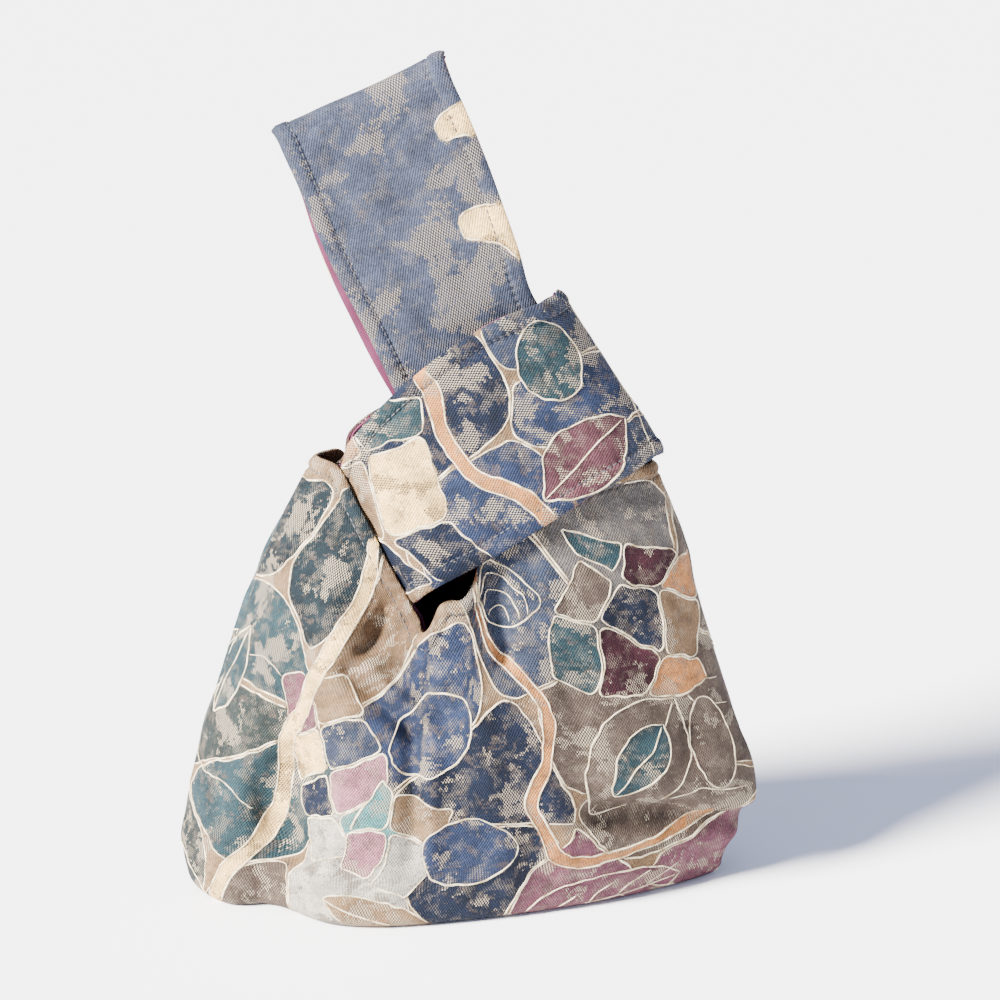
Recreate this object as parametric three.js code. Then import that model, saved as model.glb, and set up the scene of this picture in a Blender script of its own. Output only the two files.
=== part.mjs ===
// Knot bag: a lined tapestry bag with a boxed base, standing closed with its long handle passed
// through its short one. Millimetres, +Z up, the front faces -Y, the short handle starts at -X.

import * as THREE from 'three';

// Driving dimensions
const BODY_WIDTH = 254;
const BODY_HEIGHT = 192;
const BODY_DEPTH = 108;
const BASE_RADIUS = 7;
const CLOTH = 1.5;
const LINING = 1;
const GAP = 0.3;
const TUCK_GAP = 1.8;
const SHORT_HANDLE_LIFT = 4;
const TUCK = 12;
const LINING_DROP = 19;
const LONG_HANDLE_HEIGHT = 364;
const LONG_HANDLE_LEAN = 62;
const STRAP_WIDTH = 75;
const LOOP_GAP = 20;

// Fineness of the meshes
const HALF_COLUMNS = 22;
const RIM_ROWS = 2;
const SIDE_ROWS = 14;
const BEND_ROWS = 3;
const BASE_RINGS = 2;
const END_CROWDING = 0.5;
const STRAP_ACROSS = 4;
const STRAP_STEPS = 3;

// How soon a fold dies out towards a side seam, and the share of a panel over which slopes are taken
const SEAM_HOLD = 8;
const SLOPE_STEP = 0.01;

// A table as one object for each row, with its columns by name
function table(columns, rows) {
  return rows.map((row) => Object.fromEntries(columns.map((column, k) => [column, row[k]])));
}

// Sections of the bag. height is a share of BODY_HEIGHT, left and right of half BODY_WIDTH, front
// and back of half BODY_DEPTH. ridge is how far across from the left the front lies deepest, and
// leftRound, rightRound and backRound go from 1, straight to the side seam, to 2, an ellipse.
// The rows above 1 give the space in which the handles cross.
const SECTIONS = table([
  'height', 'left', 'right', 'front', 'back', 'ridge',
  'leftRound', 'rightRound', 'backRound',
], [
  [0.0, 0.965, 0.885, 1.12, 0.9, 0.37, 2.1, 1.35, 2.5],
  [0.1, 0.99, 0.96, 1.13, 0.96, 0.37, 2.0, 1.45, 2.5],
  [0.18, 0.975, 1.0, 1.1, 0.97, 0.38, 1.9, 1.55, 2.4],
  [0.35, 0.925, 0.945, 1.09, 0.94, 0.4, 1.8, 1.6, 2.2],
  [0.5, 0.845, 0.865, 1.04, 0.86, 0.42, 1.8, 1.6, 2.0],
  [0.65, 0.765, 0.795, 0.95, 0.76, 0.44, 1.8, 1.65, 1.9],
  [0.8, 0.675, 0.74, 0.8, 0.66, 0.46, 1.8, 1.7, 1.8],
  [1.0, 0.51, 0.615, 0.54, 0.5, 0.46, 1.8, 1.8, 1.8],
  [1.2, 0.34, 0.42, 0.44, 0.42, 0.5, 1.9, 1.9, 1.9],
  [1.4, 0.16, 0.22, 0.36, 0.36, 0.5, 2.0, 2.0, 2.0],
]);

// Top edge of the body, from the left side seam to the right one. across is a share of the way,
// height a share of BODY_HEIGHT. The front's low point is its neckline, squeezed behind the lapped
// edge on the left.
const FRONT_RIM = table(['across', 'height'], [
  [0.0, 1.0],
  [0.08, 0.99],
  [0.26, 0.845],
  [0.36, 0.72],
  [0.4, 0.66],
  [0.42, 0.725],
  [0.49, 0.75],
  [0.52, 0.86],
  [0.7, 0.95],
  [0.9, 0.985],
  [1.0, 0.985],
]);
const BACK_RIM = table(['across', 'height'], [
  [0.0, 1.0],
  [0.08, 0.99],
  [0.28, 0.84],
  [0.38, 0.735],
  [0.5, 0.76],
  [0.56, 0.87],
  [0.7, 0.94],
  [0.9, 0.985],
  [1.0, 0.985],
]);

// Dents and folds of the cloth, each a furrow from one point of a panel to another. width is its
// reach and depth how far it goes in, as shares of BODY_DEPTH, and a depth below 0 stands out.
const FOLDS = table(['side', 'fromAcross', 'fromHeight', 'toAcross', 'toHeight', 'width', 'depth'], [
  ['front', 0.3, 0.7, 0.31, 0.69, 0.15, 0.08],
  ['front', 0.36, 0.62, 0.43, 0.48, 0.12, 0.04],
  ['front', 0.54, 0.84, 0.56, 0.63, 0.13, 0.05],
  ['front', 1.0, 0.1, 0.72, 0.22, 0.13, 0.07],
  ['front', 0.16, 0.0, 0.2, 0.32, 0.17, 0.12],
  ['front', 0.22, 0.6, 0.27, 0.25, 0.16, -0.05],
  ['back', 0.36, 0.78, 0.3, 0.4, 0.18, 0.06],
  ['back', 0.62, 0.8, 0.58, 0.55, 0.15, 0.05],
  ['back', 0.95, 0.12, 0.65, 0.22, 0.14, 0.06],
  ['back', 0.15, 0.0, 0.2, 0.3, 0.18, 0.03],
]);

// Where each half of a handle leaves the body's rim: how far across its outer edge lies, beside
// the side seam, and its inner one, beside the neckline. Its end is tucked in behind the rim by
// the length TUCK, along tuckAcross sideways and tuckDown downwards.
const HANDLE_ENDS = {
  shortFront: { side: 'front', outer: 0.075, inner: 0.355, tuckAcross: -0.85, tuckDown: 0.53 },
  shortBack: { side: 'back', outer: 0.085, inner: 0.36, tuckAcross: -0.85, tuckDown: 0.53 },
  longFront: { side: 'front', outer: 0.93, inner: 0.56, tuckAcross: 0.3, tuckDown: 0.95 },
  longBack: { side: 'back', outer: 0.93, inner: 0.58, tuckAcross: 0.3, tuckDown: 0.95 },
};

// Course of the short handle over the body, from beside its end on the left to its fold at the
// right side: across and height of its outer and inner edges, as in the tables of the panels.
// backDrop is how much lower its outer edge lies behind, as a share of BODY_HEIGHT.
const SHORT_HANDLE_COURSE = table([
  'outerAcross', 'outerHeight', 'innerAcross', 'innerHeight', 'backDrop',
], [
  [0.11, 1.05, 0.4, 0.76, 0.03],
  [0.19, 1.16, 0.5, 0.815, 0.08],
  [0.38, 1.265, 0.63, 0.875, 0.1],
  [0.62, 1.325, 0.78, 0.94, 0.08],
  [0.87, 1.345, 0.92, 0.985, 0.03],
  [1.0, 1.345, 1.0, 1.005, 0.0],
]);

// Course of the long handle's free stretch. height is a share of LONG_HANDLE_HEIGHT, shift the
// place of the left edge as a share of LONG_HANDLE_LEAN, width its level width as a share of
// STRAP_WIDTH, and tilt the rise of its right edge as a share of that. leftPart and rightPart are
// how far each half lies from the middle plane, as shares of LOOP_GAP, and backShift is how much
// further left the back half lies, as a share of STRAP_WIDTH.
const LONG_HANDLE_COURSE = table([
  'height', 'shift', 'width', 'tilt', 'leftPart', 'rightPart', 'backShift',
], [
  [0.522, 0.18, 0.82, 0.63, 0.75, 0.16, 0.05],
  [0.605, 0.45, 0.74, 0.73, 0.55, 0.4, 0.08],
  [0.67, 0.63, 0.79, 0.67, 0.5, 0.5, 0.06],
  [0.762, 0.9, 0.87, 0.57, 0.46, 0.46, 0.03],
  [0.836, 1.07, 0.875, 0.53, 0.38, 0.38, 0.02],
  [0.9, 1.225, 0.88, 0.46, 0.22, 0.22, 0.0],
]);

function mix(a, b, t) {
  return a + (b - a) * t;
}

// The last row of a sorted table that isn't above a value, and that has one after it
function rowBelow(rows, key, value) {
  const above = rows.findIndex((row) => row[key] > value);
  return Math.max(0, above < 0 ? rows.length - 2 : above - 1);
}

// Slope of a column at a row of the table
function slopeAt(rows, key, column, index) {
  const before = rows[Math.max(index - 1, 0)];
  const after = rows[Math.min(index + 1, rows.length - 1)];
  return (after[column] - before[column]) / (after[key] - before[key]);
}

// A column of the table at a value of its key, on a smooth curve through the rows
function smooth(rows, key, column, value) {
  const index = rowBelow(rows, key, value);
  const low = rows[index];
  const high = rows[index + 1];
  const span = high[key] - low[key];
  const t = THREE.MathUtils.clamp((value - low[key]) / span, 0, 1);
  const rise = slopeAt(rows, key, column, index) * span;
  const fall = slopeAt(rows, key, column, index + 1) * span;
  const step = t * t * (3 - 2 * t);
  const start = t * (1 - t) * (1 - t) * rise;
  const end = t * t * (t - 1) * fall;
  return mix(low[column], high[column], step) + start + end;
}

function straight(rows, key, column, value) {
  const index = rowBelow(rows, key, value);
  const low = rows[index];
  const high = rows[index + 1];
  return mix(low[column], high[column], (value - low[key]) / (high[key] - low[key]));
}

// Depth of a panel, from 0 at its side seams to 1 at its ridge
function bulge(across, ridge, leftRound, rightRound) {
  const onLeft = across < ridge;
  const away = onLeft ? 1 - across / ridge : (across - ridge) / (1 - ridge);
  const round = onLeft ? leftRound : rightRound;
  return Math.max(0, 1 - away ** round) ** (1 / round);
}

// How far the folds push a point of a panel inwards
function foldDepth(side, across, height) {
  const point = new THREE.Vector2(across * BODY_WIDTH, height * BODY_HEIGHT);
  return FOLDS.filter((fold) => fold.side === side).reduce((sum, fold) => {
    const from = new THREE.Vector2(fold.fromAcross * BODY_WIDTH, fold.fromHeight * BODY_HEIGHT);
    const to = new THREE.Vector2(fold.toAcross * BODY_WIDTH, fold.toHeight * BODY_HEIGHT);
    const along = to.clone().sub(from);
    const t = THREE.MathUtils.clamp(point.clone().sub(from).dot(along) / along.lengthSq(), 0, 1);
    const distance = from.addScaledVector(along, t).distanceTo(point);
    return sum + fold.depth * BODY_DEPTH * Math.exp(-((distance / (fold.width * BODY_DEPTH)) ** 2));
  }, 0);
}

// A point of the bag's outer face, on the front or back panel
function wallPoint(side, across, height) {
  const size = (column) => smooth(SECTIONS, 'height', column, height);
  const left = (-size('left') * BODY_WIDTH) / 2;
  const right = (size('right') * BODY_WIDTH) / 2;
  const isFront = side === 'front';
  const round = size('backRound');
  const depth = isFront
    ? size('front') * bulge(across, size('ridge'), size('leftRound'), size('rightRound'))
    : size('back') * bulge(across, 1 / 2, round, round);
  const held = Math.min(1, SEAM_HOLD * across * (1 - across));
  const out = (depth * BODY_DEPTH) / 2 - held * foldDepth(side, across, height);
  return new THREE.Vector3(mix(left, right, across), isFront ? -out : out, height * BODY_HEIGHT);
}

// Outward normal of a panel
function wallNormal(side, across, height) {
  const lower = Math.max(across - SLOPE_STEP, 0);
  const upper = Math.min(across + SLOPE_STEP, 1);
  const sideways = wallPoint(side, upper, height).sub(wallPoint(side, lower, height));
  const above = wallPoint(side, across, height + SLOPE_STEP);
  const upwards = above.sub(wallPoint(side, across, height - SLOPE_STEP));
  const normal = sideways.cross(upwards).normalize();
  return side === 'front' ? normal : normal.negate();
}

// A point that lies off a panel, outwards where lift is above 0
function offWall(side, across, height, lift) {
  return wallPoint(side, across, height).addScaledVector(wallNormal(side, across, height), lift);
}

// The columns of the body: all along the front from left to right, then back behind
function columnPlaces() {
  const places = [];
  for (let k = 0; k < 2 * HALF_COLUMNS; k += 1) {
    const isFront = k < HALF_COLUMNS;
    const even = (k % HALF_COLUMNS) / HALF_COLUMNS;
    const round = (1 - Math.cos(Math.PI * even)) / 2;
    const across = mix(even, round, END_CROWDING);
    places.push({ side: isFront ? 'front' : 'back', across: isFront ? across : 1 - across });
  }
  return places;
}

function rimHeight(side, across) {
  return straight(side === 'front' ? FRONT_RIM : BACK_RIM, 'across', 'height', across);
}

// Inward direction of a closed row of points, in its own level plane
function inwardOf(row, k) {
  const before = row[(k + row.length - 1) % row.length];
  const after = row[(k + 1) % row.length];
  const along = after.clone().sub(before);
  return new THREE.Vector3(-along.y, along.x, 0).normalize();
}

// Heights of a column's points above the bend: its rim, and from where the lining starts, down
function columnHeights(side, across) {
  const rim = rimHeight(side, across);
  const start = rim - LINING_DROP / BODY_HEIGHT;
  const bend = BASE_RADIUS / BODY_HEIGHT;
  const above = Array.from({ length: RIM_ROWS }, (_, i) => mix(rim, start, i / RIM_ROWS));
  const below = Array.from({ length: SIDE_ROWS + 1 }, (_, i) => mix(start, bend, i / SIDE_ROWS));
  return [...above, ...below];
}

// The rows of the bag's outer face, from the rim down the side, round the bend and over the base
function bodyRows() {
  const columns = columnPlaces().map(({ side, across }) =>
    columnHeights(side, across).map((height) => wallPoint(side, across, height)));
  const rows = columns[0].map((_, i) => columns.map((column) => column[i]));
  const bendStart = rows[rows.length - 1];
  for (let i = 1; i <= BEND_ROWS; i += 1) {
    const angle = (Math.PI / 2) * (i / BEND_ROWS);
    rows.push(bendStart.map((point, k) => {
      const inwards = BASE_RADIUS * (1 - Math.cos(angle));
      const moved = point.clone().addScaledVector(inwardOf(bendStart, k), inwards);
      return moved.setZ(BASE_RADIUS * (1 - Math.sin(angle)));
    }));
  }
  const edge = rows[rows.length - 1];
  const sum = edge.reduce((total, point) => total.add(point), new THREE.Vector3());
  const centre = sum.divideScalar(edge.length);
  for (let i = 1; i < BASE_RINGS; i += 1) {
    rows.push(edge.map((point) => point.clone().lerp(centre, i / BASE_RINGS)));
  }
  return { rows, centre };
}

// Outward normals of a grid of points, whose rows close on themselves or not
function gridNormals(rows, closed) {
  return rows.map((row, i) => row.map((point, k) => {
    const above = rows[Math.max(i - 1, 0)][k];
    const below = rows[Math.min(i + 1, rows.length - 1)][k];
    const before = closed ? row[(k + row.length - 1) % row.length] : row[Math.max(k - 1, 0)];
    const after = closed ? row[(k + 1) % row.length] : row[Math.min(k + 1, row.length - 1)];
    const along = after.clone().sub(before);
    return along.cross(above.clone().sub(below)).normalize();
  }));
}

// The same grid, moved along its normals
function offsetGrid(rows, normals, distance) {
  return rows.map((row, i) =>
    row.map((point, k) => point.clone().addScaledVector(normals[i][k], distance)));
}

function toGeometry(points, triangles) {
  const geometry = new THREE.BufferGeometry();
  const positions = points.flatMap((point) => [point.x, point.y, point.z]);
  geometry.setAttribute('position', new THREE.Float32BufferAttribute(positions, 3));
  geometry.setIndex(triangles.flat());
  geometry.computeVertexNormals();
  return geometry;
}

// Two triangles over a cell, which face the side from which a, b, c, d run counterclockwise
function cell(a, b, c, d) {
  return [[a, b, c], [a, c, d]];
}

// An open bag between two distances from the outer face, as one closed solid, from one row down
function bagLayer(firstRow, outerDepth, thickness) {
  const { rows: allRows, centre } = bodyRows();
  const allNormals = gridNormals(allRows, true);
  const levelBase = allRows.length - BASE_RINGS;
  allNormals.slice(levelBase).flat().forEach((normal) => normal.set(0, 0, -1));
  const rows = allRows.slice(firstRow);
  const normals = allNormals.slice(firstRow);
  const count = rows[0].length;
  const depths = [outerDepth, outerDepth + thickness];
  const points = depths.flatMap((depth) => [
    ...offsetGrid(rows, normals, -depth).flat(),
    centre.clone().setZ(depth),
  ]);
  const inner = rows.length * count + 1;
  const toInner = (triangle) => triangle.map((index) => index + inner);
  const bottom = (rows.length - 1) * count;
  const triangles = [];
  for (let k = 0; k < count; k += 1) {
    const next = (k + 1) % count;
    for (let i = 0; i < rows.length - 1; i += 1) {
      const [high, low] = [i * count, (i + 1) * count];
      triangles.push(...cell(low + k, low + next, high + next, high + k));
      triangles.push(...cell(low + k, high + k, high + next, low + next).map(toInner));
    }
    triangles.push([inner - 1, bottom + next, bottom + k]);
    triangles.push(toInner([inner - 1, bottom + k, bottom + next]));
    triangles.push(...cell(k, next, inner + next, inner + k));
  }
  return toGeometry(points, triangles);
}

// A strip of cloth between two distances from a grid of points, as one closed solid
function stripLayer(rows, near, far) {
  const normals = gridNormals(rows, false);
  const count = rows[0].length;
  const points = [...offsetGrid(rows, normals, far).flat(), ...offsetGrid(rows, normals, near).flat()];
  const inner = rows.length * count;
  const toInner = (triangle) => triangle.map((index) => index + inner);
  const triangles = [];
  for (let i = 0; i < rows.length - 1; i += 1) {
    for (let k = 0; k < count - 1; k += 1) {
      const [high, low] = [i * count, (i + 1) * count];
      triangles.push(...cell(low + k, low + k + 1, high + k + 1, high + k));
      triangles.push(...cell(low + k, high + k, high + k + 1, low + k + 1).map(toInner));
    }
    const [low, high, end] = [i * count, (i + 1) * count, count - 1];
    triangles.push(...cell(low, inner + low, inner + high, high));
    triangles.push(...cell(high + end, inner + high + end, inner + low + end, low + end));
  }
  for (let k = 0; k < count - 1; k += 1) {
    const last = (rows.length - 1) * count + k;
    triangles.push(...cell(k, k + 1, inner + k + 1, inner + k));
    triangles.push(...cell(last + 1, last, inner + last, inner + last + 1));
  }
  return toGeometry(points, triangles);
}

// A station of a handle: points from its inner edge to its outer one, by a function of the share
function station(place) {
  return Array.from({ length: STRAP_ACROSS + 1 }, (_, k) => place(k / STRAP_ACROSS));
}

// A station of the short handle over a panel
function panelStation(side, row) {
  const outerHeight = row.outerHeight - (side === 'back' ? row.backDrop : 0);
  return station((t) => {
    const across = mix(row.innerAcross, row.outerAcross, t);
    return offWall(side, across, mix(row.innerHeight, outerHeight, t), SHORT_HANDLE_LIFT);
  });
}

// A station behind the body's rim, tucked in by a share of TUCK
function tuckedStation(end, share) {
  return station((t) => {
    const across = mix(end.inner, end.outer, t);
    const sideways = (share * TUCK * end.tuckAcross) / BODY_WIDTH;
    const down = (share * TUCK * end.tuckDown) / BODY_HEIGHT;
    return offWall(end.side, across + sideways, rimHeight(end.side, across) - down, -TUCK_DEPTH);
  });
}

// Stations joined by smooth curves, one for each place across the strap
function smoothStrip(stations) {
  const steps = (stations.length - 1) * STRAP_STEPS;
  const lines = stations[0].map((_, k) => {
    const curve = new THREE.CatmullRomCurve3(stations.map((row) => row[k]), false, 'centripetal');
    return Array.from({ length: steps + 1 }, (__, i) => curve.getPoint(i / steps));
  });
  return Array.from({ length: steps + 1 }, (_, i) => lines.map((line) => line[i]));
}

// How far inside the body's outer face the middle of a tucked handle lies
const TUCK_DEPTH = CLOTH + TUCK_GAP + CLOTH + GAP / 2;

// Surface of the short handle, between its cloth and its lining: out of the front at the left,
// over the front to its fold at the right, and behind to the back's left
function shortHandleRows() {
  const { shortFront, shortBack } = HANDLE_ENDS;
  const course = SHORT_HANDLE_COURSE;
  const front = course.map((row) => panelStation('front', row));
  const back = course.slice(0, -1).map((row) => panelStation('back', row));
  return smoothStrip([
    tuckedStation(shortFront, 1),
    tuckedStation(shortFront, 0),
    ...front,
    ...back.reverse(),
    tuckedStation(shortBack, 0),
    tuckedStation(shortBack, 1),
  ]);
}

// A station of the long handle on its free stretch
function looseStation(row, isFront) {
  const wide = row.width * STRAP_WIDTH;
  const shift = row.shift * LONG_HANDLE_LEAN + (isFront ? 0 : row.backShift * STRAP_WIDTH);
  const height = row.height * LONG_HANDLE_HEIGHT;
  const out = isFront ? -LOOP_GAP : LOOP_GAP;
  return station((t) => new THREE.Vector3(
    t * wide - shift,
    mix(row.leftPart, row.rightPart, t) * out,
    height + t * row.tilt * wide,
  ));
}

// Surface of the long handle, between its cloth and its lining: up from the back's right, over
// its fold at the top and down to the front's right
function longHandleRows() {
  const { longFront, longBack } = HANDLE_ENDS;
  const front = LONG_HANDLE_COURSE.map((row) => looseStation(row, true));
  const back = LONG_HANDLE_COURSE.map((row) => looseStation(row, false));
  return smoothStrip([
    tuckedStation(longBack, 1),
    tuckedStation(longBack, 0),
    ...back,
    ...front.reverse(),
    tuckedStation(longFront, 0),
    tuckedStation(longFront, 1),
  ]);
}

const TAPESTRY = new THREE.Color('#5f6a80');
const BURGUNDY = new THREE.Color('#7a3a52');

function part(name, geometry, color) {
  const material = new THREE.MeshStandardMaterial({ color, roughness: 0.85, metalness: 0 });
  const mesh = new THREE.Mesh(geometry, material);
  mesh.name = name;
  return mesh;
}

function build() {
  const bag = new THREE.Group();
  const shortHandle = shortHandleRows();
  const longHandle = longHandleRows();
  const clothFar = GAP / 2 + CLOTH;
  const liningFar = -GAP / 2 - LINING;
  bag.add(part('outer_shell', bagLayer(0, 0, CLOTH), TAPESTRY));
  bag.add(part('lining', bagLayer(RIM_ROWS, CLOTH + GAP, LINING), BURGUNDY));
  bag.add(part('short_handle', stripLayer(shortHandle, GAP / 2, clothFar), TAPESTRY));
  bag.add(part('short_handle_lining', stripLayer(shortHandle, liningFar, -GAP / 2), BURGUNDY));
  bag.add(part('long_handle', stripLayer(longHandle, GAP / 2, clothFar), TAPESTRY));
  bag.add(part('long_handle_lining', stripLayer(longHandle, liningFar, -GAP / 2), BURGUNDY));

  // The origin is the middle of the bag's box, on the surface that it stands on
  const box = new THREE.Box3().setFromObject(bag);
  const middle = box.getCenter(new THREE.Vector3());
  bag.position.set(-middle.x, -middle.y, -box.min.z);
  return bag;
}

export default build();
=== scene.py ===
import math

import bpy
import numpy as np
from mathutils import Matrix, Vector
from mathutils.bvhtree import BVHTree
from mathutils.interpolate import poly_3d_calc


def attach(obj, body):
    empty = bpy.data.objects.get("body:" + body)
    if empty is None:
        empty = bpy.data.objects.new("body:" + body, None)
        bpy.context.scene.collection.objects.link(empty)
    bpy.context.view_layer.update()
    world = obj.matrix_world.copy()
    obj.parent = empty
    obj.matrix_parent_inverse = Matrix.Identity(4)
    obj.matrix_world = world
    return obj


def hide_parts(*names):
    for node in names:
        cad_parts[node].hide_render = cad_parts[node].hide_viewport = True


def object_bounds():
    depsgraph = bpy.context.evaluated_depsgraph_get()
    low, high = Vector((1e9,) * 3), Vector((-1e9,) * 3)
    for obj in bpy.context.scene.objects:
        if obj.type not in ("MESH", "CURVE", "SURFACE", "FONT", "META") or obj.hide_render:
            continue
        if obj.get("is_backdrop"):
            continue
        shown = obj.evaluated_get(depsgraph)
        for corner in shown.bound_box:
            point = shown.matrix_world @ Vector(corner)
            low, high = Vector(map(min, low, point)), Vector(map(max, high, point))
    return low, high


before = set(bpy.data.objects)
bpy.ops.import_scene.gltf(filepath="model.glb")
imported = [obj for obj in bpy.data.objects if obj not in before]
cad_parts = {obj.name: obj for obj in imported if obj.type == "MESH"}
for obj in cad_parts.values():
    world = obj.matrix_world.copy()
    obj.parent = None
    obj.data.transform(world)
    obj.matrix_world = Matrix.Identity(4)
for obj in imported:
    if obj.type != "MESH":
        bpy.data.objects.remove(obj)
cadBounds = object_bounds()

mm = 0.001
middle = np.array([-0.39, 4.22, 0.0])  # mm, where the middle of the body lies in the frame
panelApart = (400, 0)  # mm between the flat cloths of the front and the back


def table(columns, rows):
    return [dict(zip(columns.split(), row)) for row in rows]


def mix(a, b, t):
    return a + (b - a) * t


def soften(low, high, value):
    t = np.clip((value - low) / (high - low), 0, 1)
    return t * t * (3 - 2 * t)


def hump(value, width):
    return np.exp(-((value / width) ** 2))


def stacked(*parts):  # places from lists of their coordinates
    return np.stack(parts, axis=-1)


def unit(vectors):
    return vectors / np.maximum(np.linalg.norm(vectors, axis=-1, keepdims=True), 1e-9)


def linear(hexColour):
    parts = [int(hexColour[k:k + 2], 16) / 255 for k in (1, 3, 5)]
    parts = [c / 12.92 if c <= 0.04045 else ((c + 0.055) / 1.055) ** 2.4 for c in parts]
    return (*parts, 1.0)


def softNoise(u, v, size, seed):  # smooth, seeded, from -1 to 1, with lumps of the size in mm
    count = 128  # the lattice repeats after so many lumps
    lattice = np.random.default_rng(seed).uniform(-1, 1, (count, count))
    x, y = np.asarray(u) / size + 17.3, np.asarray(v) / size + 41.7
    i, k = np.floor(x).astype(int), np.floor(y).astype(int)
    s, t = soften(0, 1, x - i), soften(0, 1, y - k)
    corner = lambda a, b: lattice[(i + a) % count, (k + b) % count]
    return mix(mix(corner(0, 0), corner(1, 0), s), mix(corner(0, 1), corner(1, 1), s), t)


def between(a, b, start, end, t):  # from a to b, leaving and arriving with given slopes
    return mix(a, b, t * t * (3 - 2 * t)) + t * (1 - t) ** 2 * start + t * t * (t - 1) * end


def smooth(rows, key, column, value):  # a column of a table, on a smooth curve through its rows
    keys = np.array([row[key] for row in rows])
    values = np.array([row[column] for row in rows])
    slopes = np.empty(len(keys))
    slopes[1:-1] = (values[2:] - values[:-2]) / (keys[2:] - keys[:-2])
    slopes[0] = (values[1] - values[0]) / (keys[1] - keys[0])
    slopes[-1] = (values[-1] - values[-2]) / (keys[-1] - keys[-2])
    k = np.clip(np.searchsorted(keys, value, side="right") - 1, 0, len(keys) - 2)
    span = keys[k + 1] - keys[k]
    t = np.clip((value - keys[k]) / span, 0, 1)
    return between(values[k], values[k + 1], slopes[k] * span, slopes[k + 1] * span, t)


def gridNormals(points, closed):  # of a grid of points, open or closed around
    above = np.concatenate([points[:1], points[:-1]])
    below = np.concatenate([points[1:], points[-1:]])
    if closed:
        before, after = np.roll(points, 1, axis=1), np.roll(points, -1, axis=1)
    else:
        before = np.concatenate([points[:, :1], points[:, :-1]], axis=1)
        after = np.concatenate([points[:, 1:], points[:, -1:]], axis=1)
    return unit(np.cross(after - before, above - below))


def lengthAlong(points, axis):  # distance from the first row or column, in mm
    steps = np.linalg.norm(np.diff(points, axis=axis), axis=-1)
    start = np.zeros_like(np.take(steps, [0], axis=axis))
    return np.cumsum(np.concatenate([start, steps], axis=axis), axis=axis)


def reachOf(line):  # distance along a line from its start, in mm
    return lengthAlong(line[:, None], 0)[:, 0]


def sampled(line, reach, at):  # a line's points at distances along it
    return stacked(*[np.interp(at, reach, values) for values in line.T])


def folds(*rows):  # lines that the cloth is pushed in along: mm, and how steep and how faded
    return table("fromX fromY toX toY width depth skew fade", rows)


def furrows(rows, x, y):  # how far a table of folds and creases pushes each point in, in mm
    total = np.zeros_like(x)
    for row in rows:
        start = np.array([row["fromX"], row["fromY"]])
        along = np.array([row["toX"], row["toY"]]) - start
        length = math.hypot(*along)
        t = np.clip(((x - start[0]) * along[0] + (y - start[1]) * along[1]) / length ** 2, 0, 1)
        away = np.hypot(x - start[0] - t * along[0], y - start[1] - t * along[1])
        side = ((y - start[1]) * along[0] - (x - start[0]) * along[1]) / length / row["width"]
        shape = 1 - row["skew"] + row["skew"] * 2.2 * side  # a skewed one is steep on one side
        fade = np.sin(math.pi * mix(0.5 * row["fade"], 1 - 0.5 * row["fade"], t))
        total += row["depth"] * shape * hump(away, row["width"]) * fade
    return total


def addItem(name, data):
    item = bpy.data.objects.new(name, data)
    bpy.context.collection.objects.link(item)
    return item


def makeObject(name, points, faces, material, uv=None, dye=None):
    mesh = bpy.data.meshes.new(name)
    mesh.from_pydata((np.asarray(points) * mm).tolist(), [], faces)
    mesh.polygons.foreach_set("use_smooth", [True] * len(mesh.polygons))
    if uv is not None:
        layer = mesh.uv_layers.new(name="cloth")
        layer.data.foreach_set("uv", np.asarray(uv, dtype=np.float32).ravel())
    if dye is not None:
        layer = mesh.color_attributes.new(name="dye", type="FLOAT_COLOR", domain="CORNER")
        layer.data.foreach_set("color", np.asarray(dye, dtype=np.float32).ravel())
    mesh.validate()
    mesh.update()
    mesh.materials.append(material)
    item = addItem(name, mesh)
    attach(item, "root")
    return item


view = {
    "target": (13.6, 4.2, 172.0), "elevation": 16, "distance": 1150,  # mm and degrees
    "lens": 97.3, "sensor": 36, "worldStrength": 0.95, "skyColour": "#c9d3f7",
    "floorReach": 40, "floorColour": "#fafbff",  # metres to each side
}
lights = {
    "key": {"kind": "SUN", "strength": 33, "angle": 16, "colour": "#fffaf2",
            "place": (-0.76, -0.44, 0.55), "target": (0, 0, 0)},
    "fill": {"kind": "AREA", "strength": 3, "size": 0.9, "colour": "#eef1ff",
             "place": (0.9, -0.9, 0.5), "target": (0, 0, 0.15)},
}


def lookAt(item, target):
    way = Vector(target) - item.location
    item.rotation_euler = way.to_track_quat("-Z", "Y").to_euler()


def addCamera():
    camera = addItem("camera", bpy.data.cameras.new("camera"))
    camera.data.lens = view["lens"]
    camera.data.sensor_width = view["sensor"]
    angle = math.radians(view["elevation"])
    away = Vector((0, -math.cos(angle), math.sin(angle))) * view["distance"]
    target = Vector(view["target"])
    camera.location = (target + away) * mm
    lookAt(camera, target * mm)
    bpy.context.scene.camera = camera


def addLights():
    for name, light in lights.items():
        data = bpy.data.lights.new(name, light["kind"])
        data.energy = light["strength"]
        data.color = linear(light["colour"])[:3]
        if light["kind"] == "SUN":
            data.angle = math.radians(light["angle"])
        else:
            data.shape, data.size = "DISK", light["size"]
        item = addItem(name, data)
        item.location = light["place"]
        lookAt(item, light["target"])


def addNode(tree, kind, inputs, output=0, **settings):
    node = tree.nodes.new("ShaderNode" + kind)
    for key, value in settings.items():
        setattr(node, key, value)
    for key, value in inputs.items():
        if isinstance(value, bpy.types.NodeSocket):
            tree.links.new(value, node.inputs[key])
        else:
            node.inputs[key].default_value = value
    return node.outputs[output]


def newMaterial(name, roughness, specular):
    material = bpy.data.materials.new(name)
    material.use_nodes = True
    tree = material.node_tree
    shader = next(node for node in tree.nodes if node.type == "BSDF_PRINCIPLED")
    shader.inputs["Roughness"].default_value = roughness
    shader.inputs["Specular IOR Level"].default_value = specular
    return material, tree, shader


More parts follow.
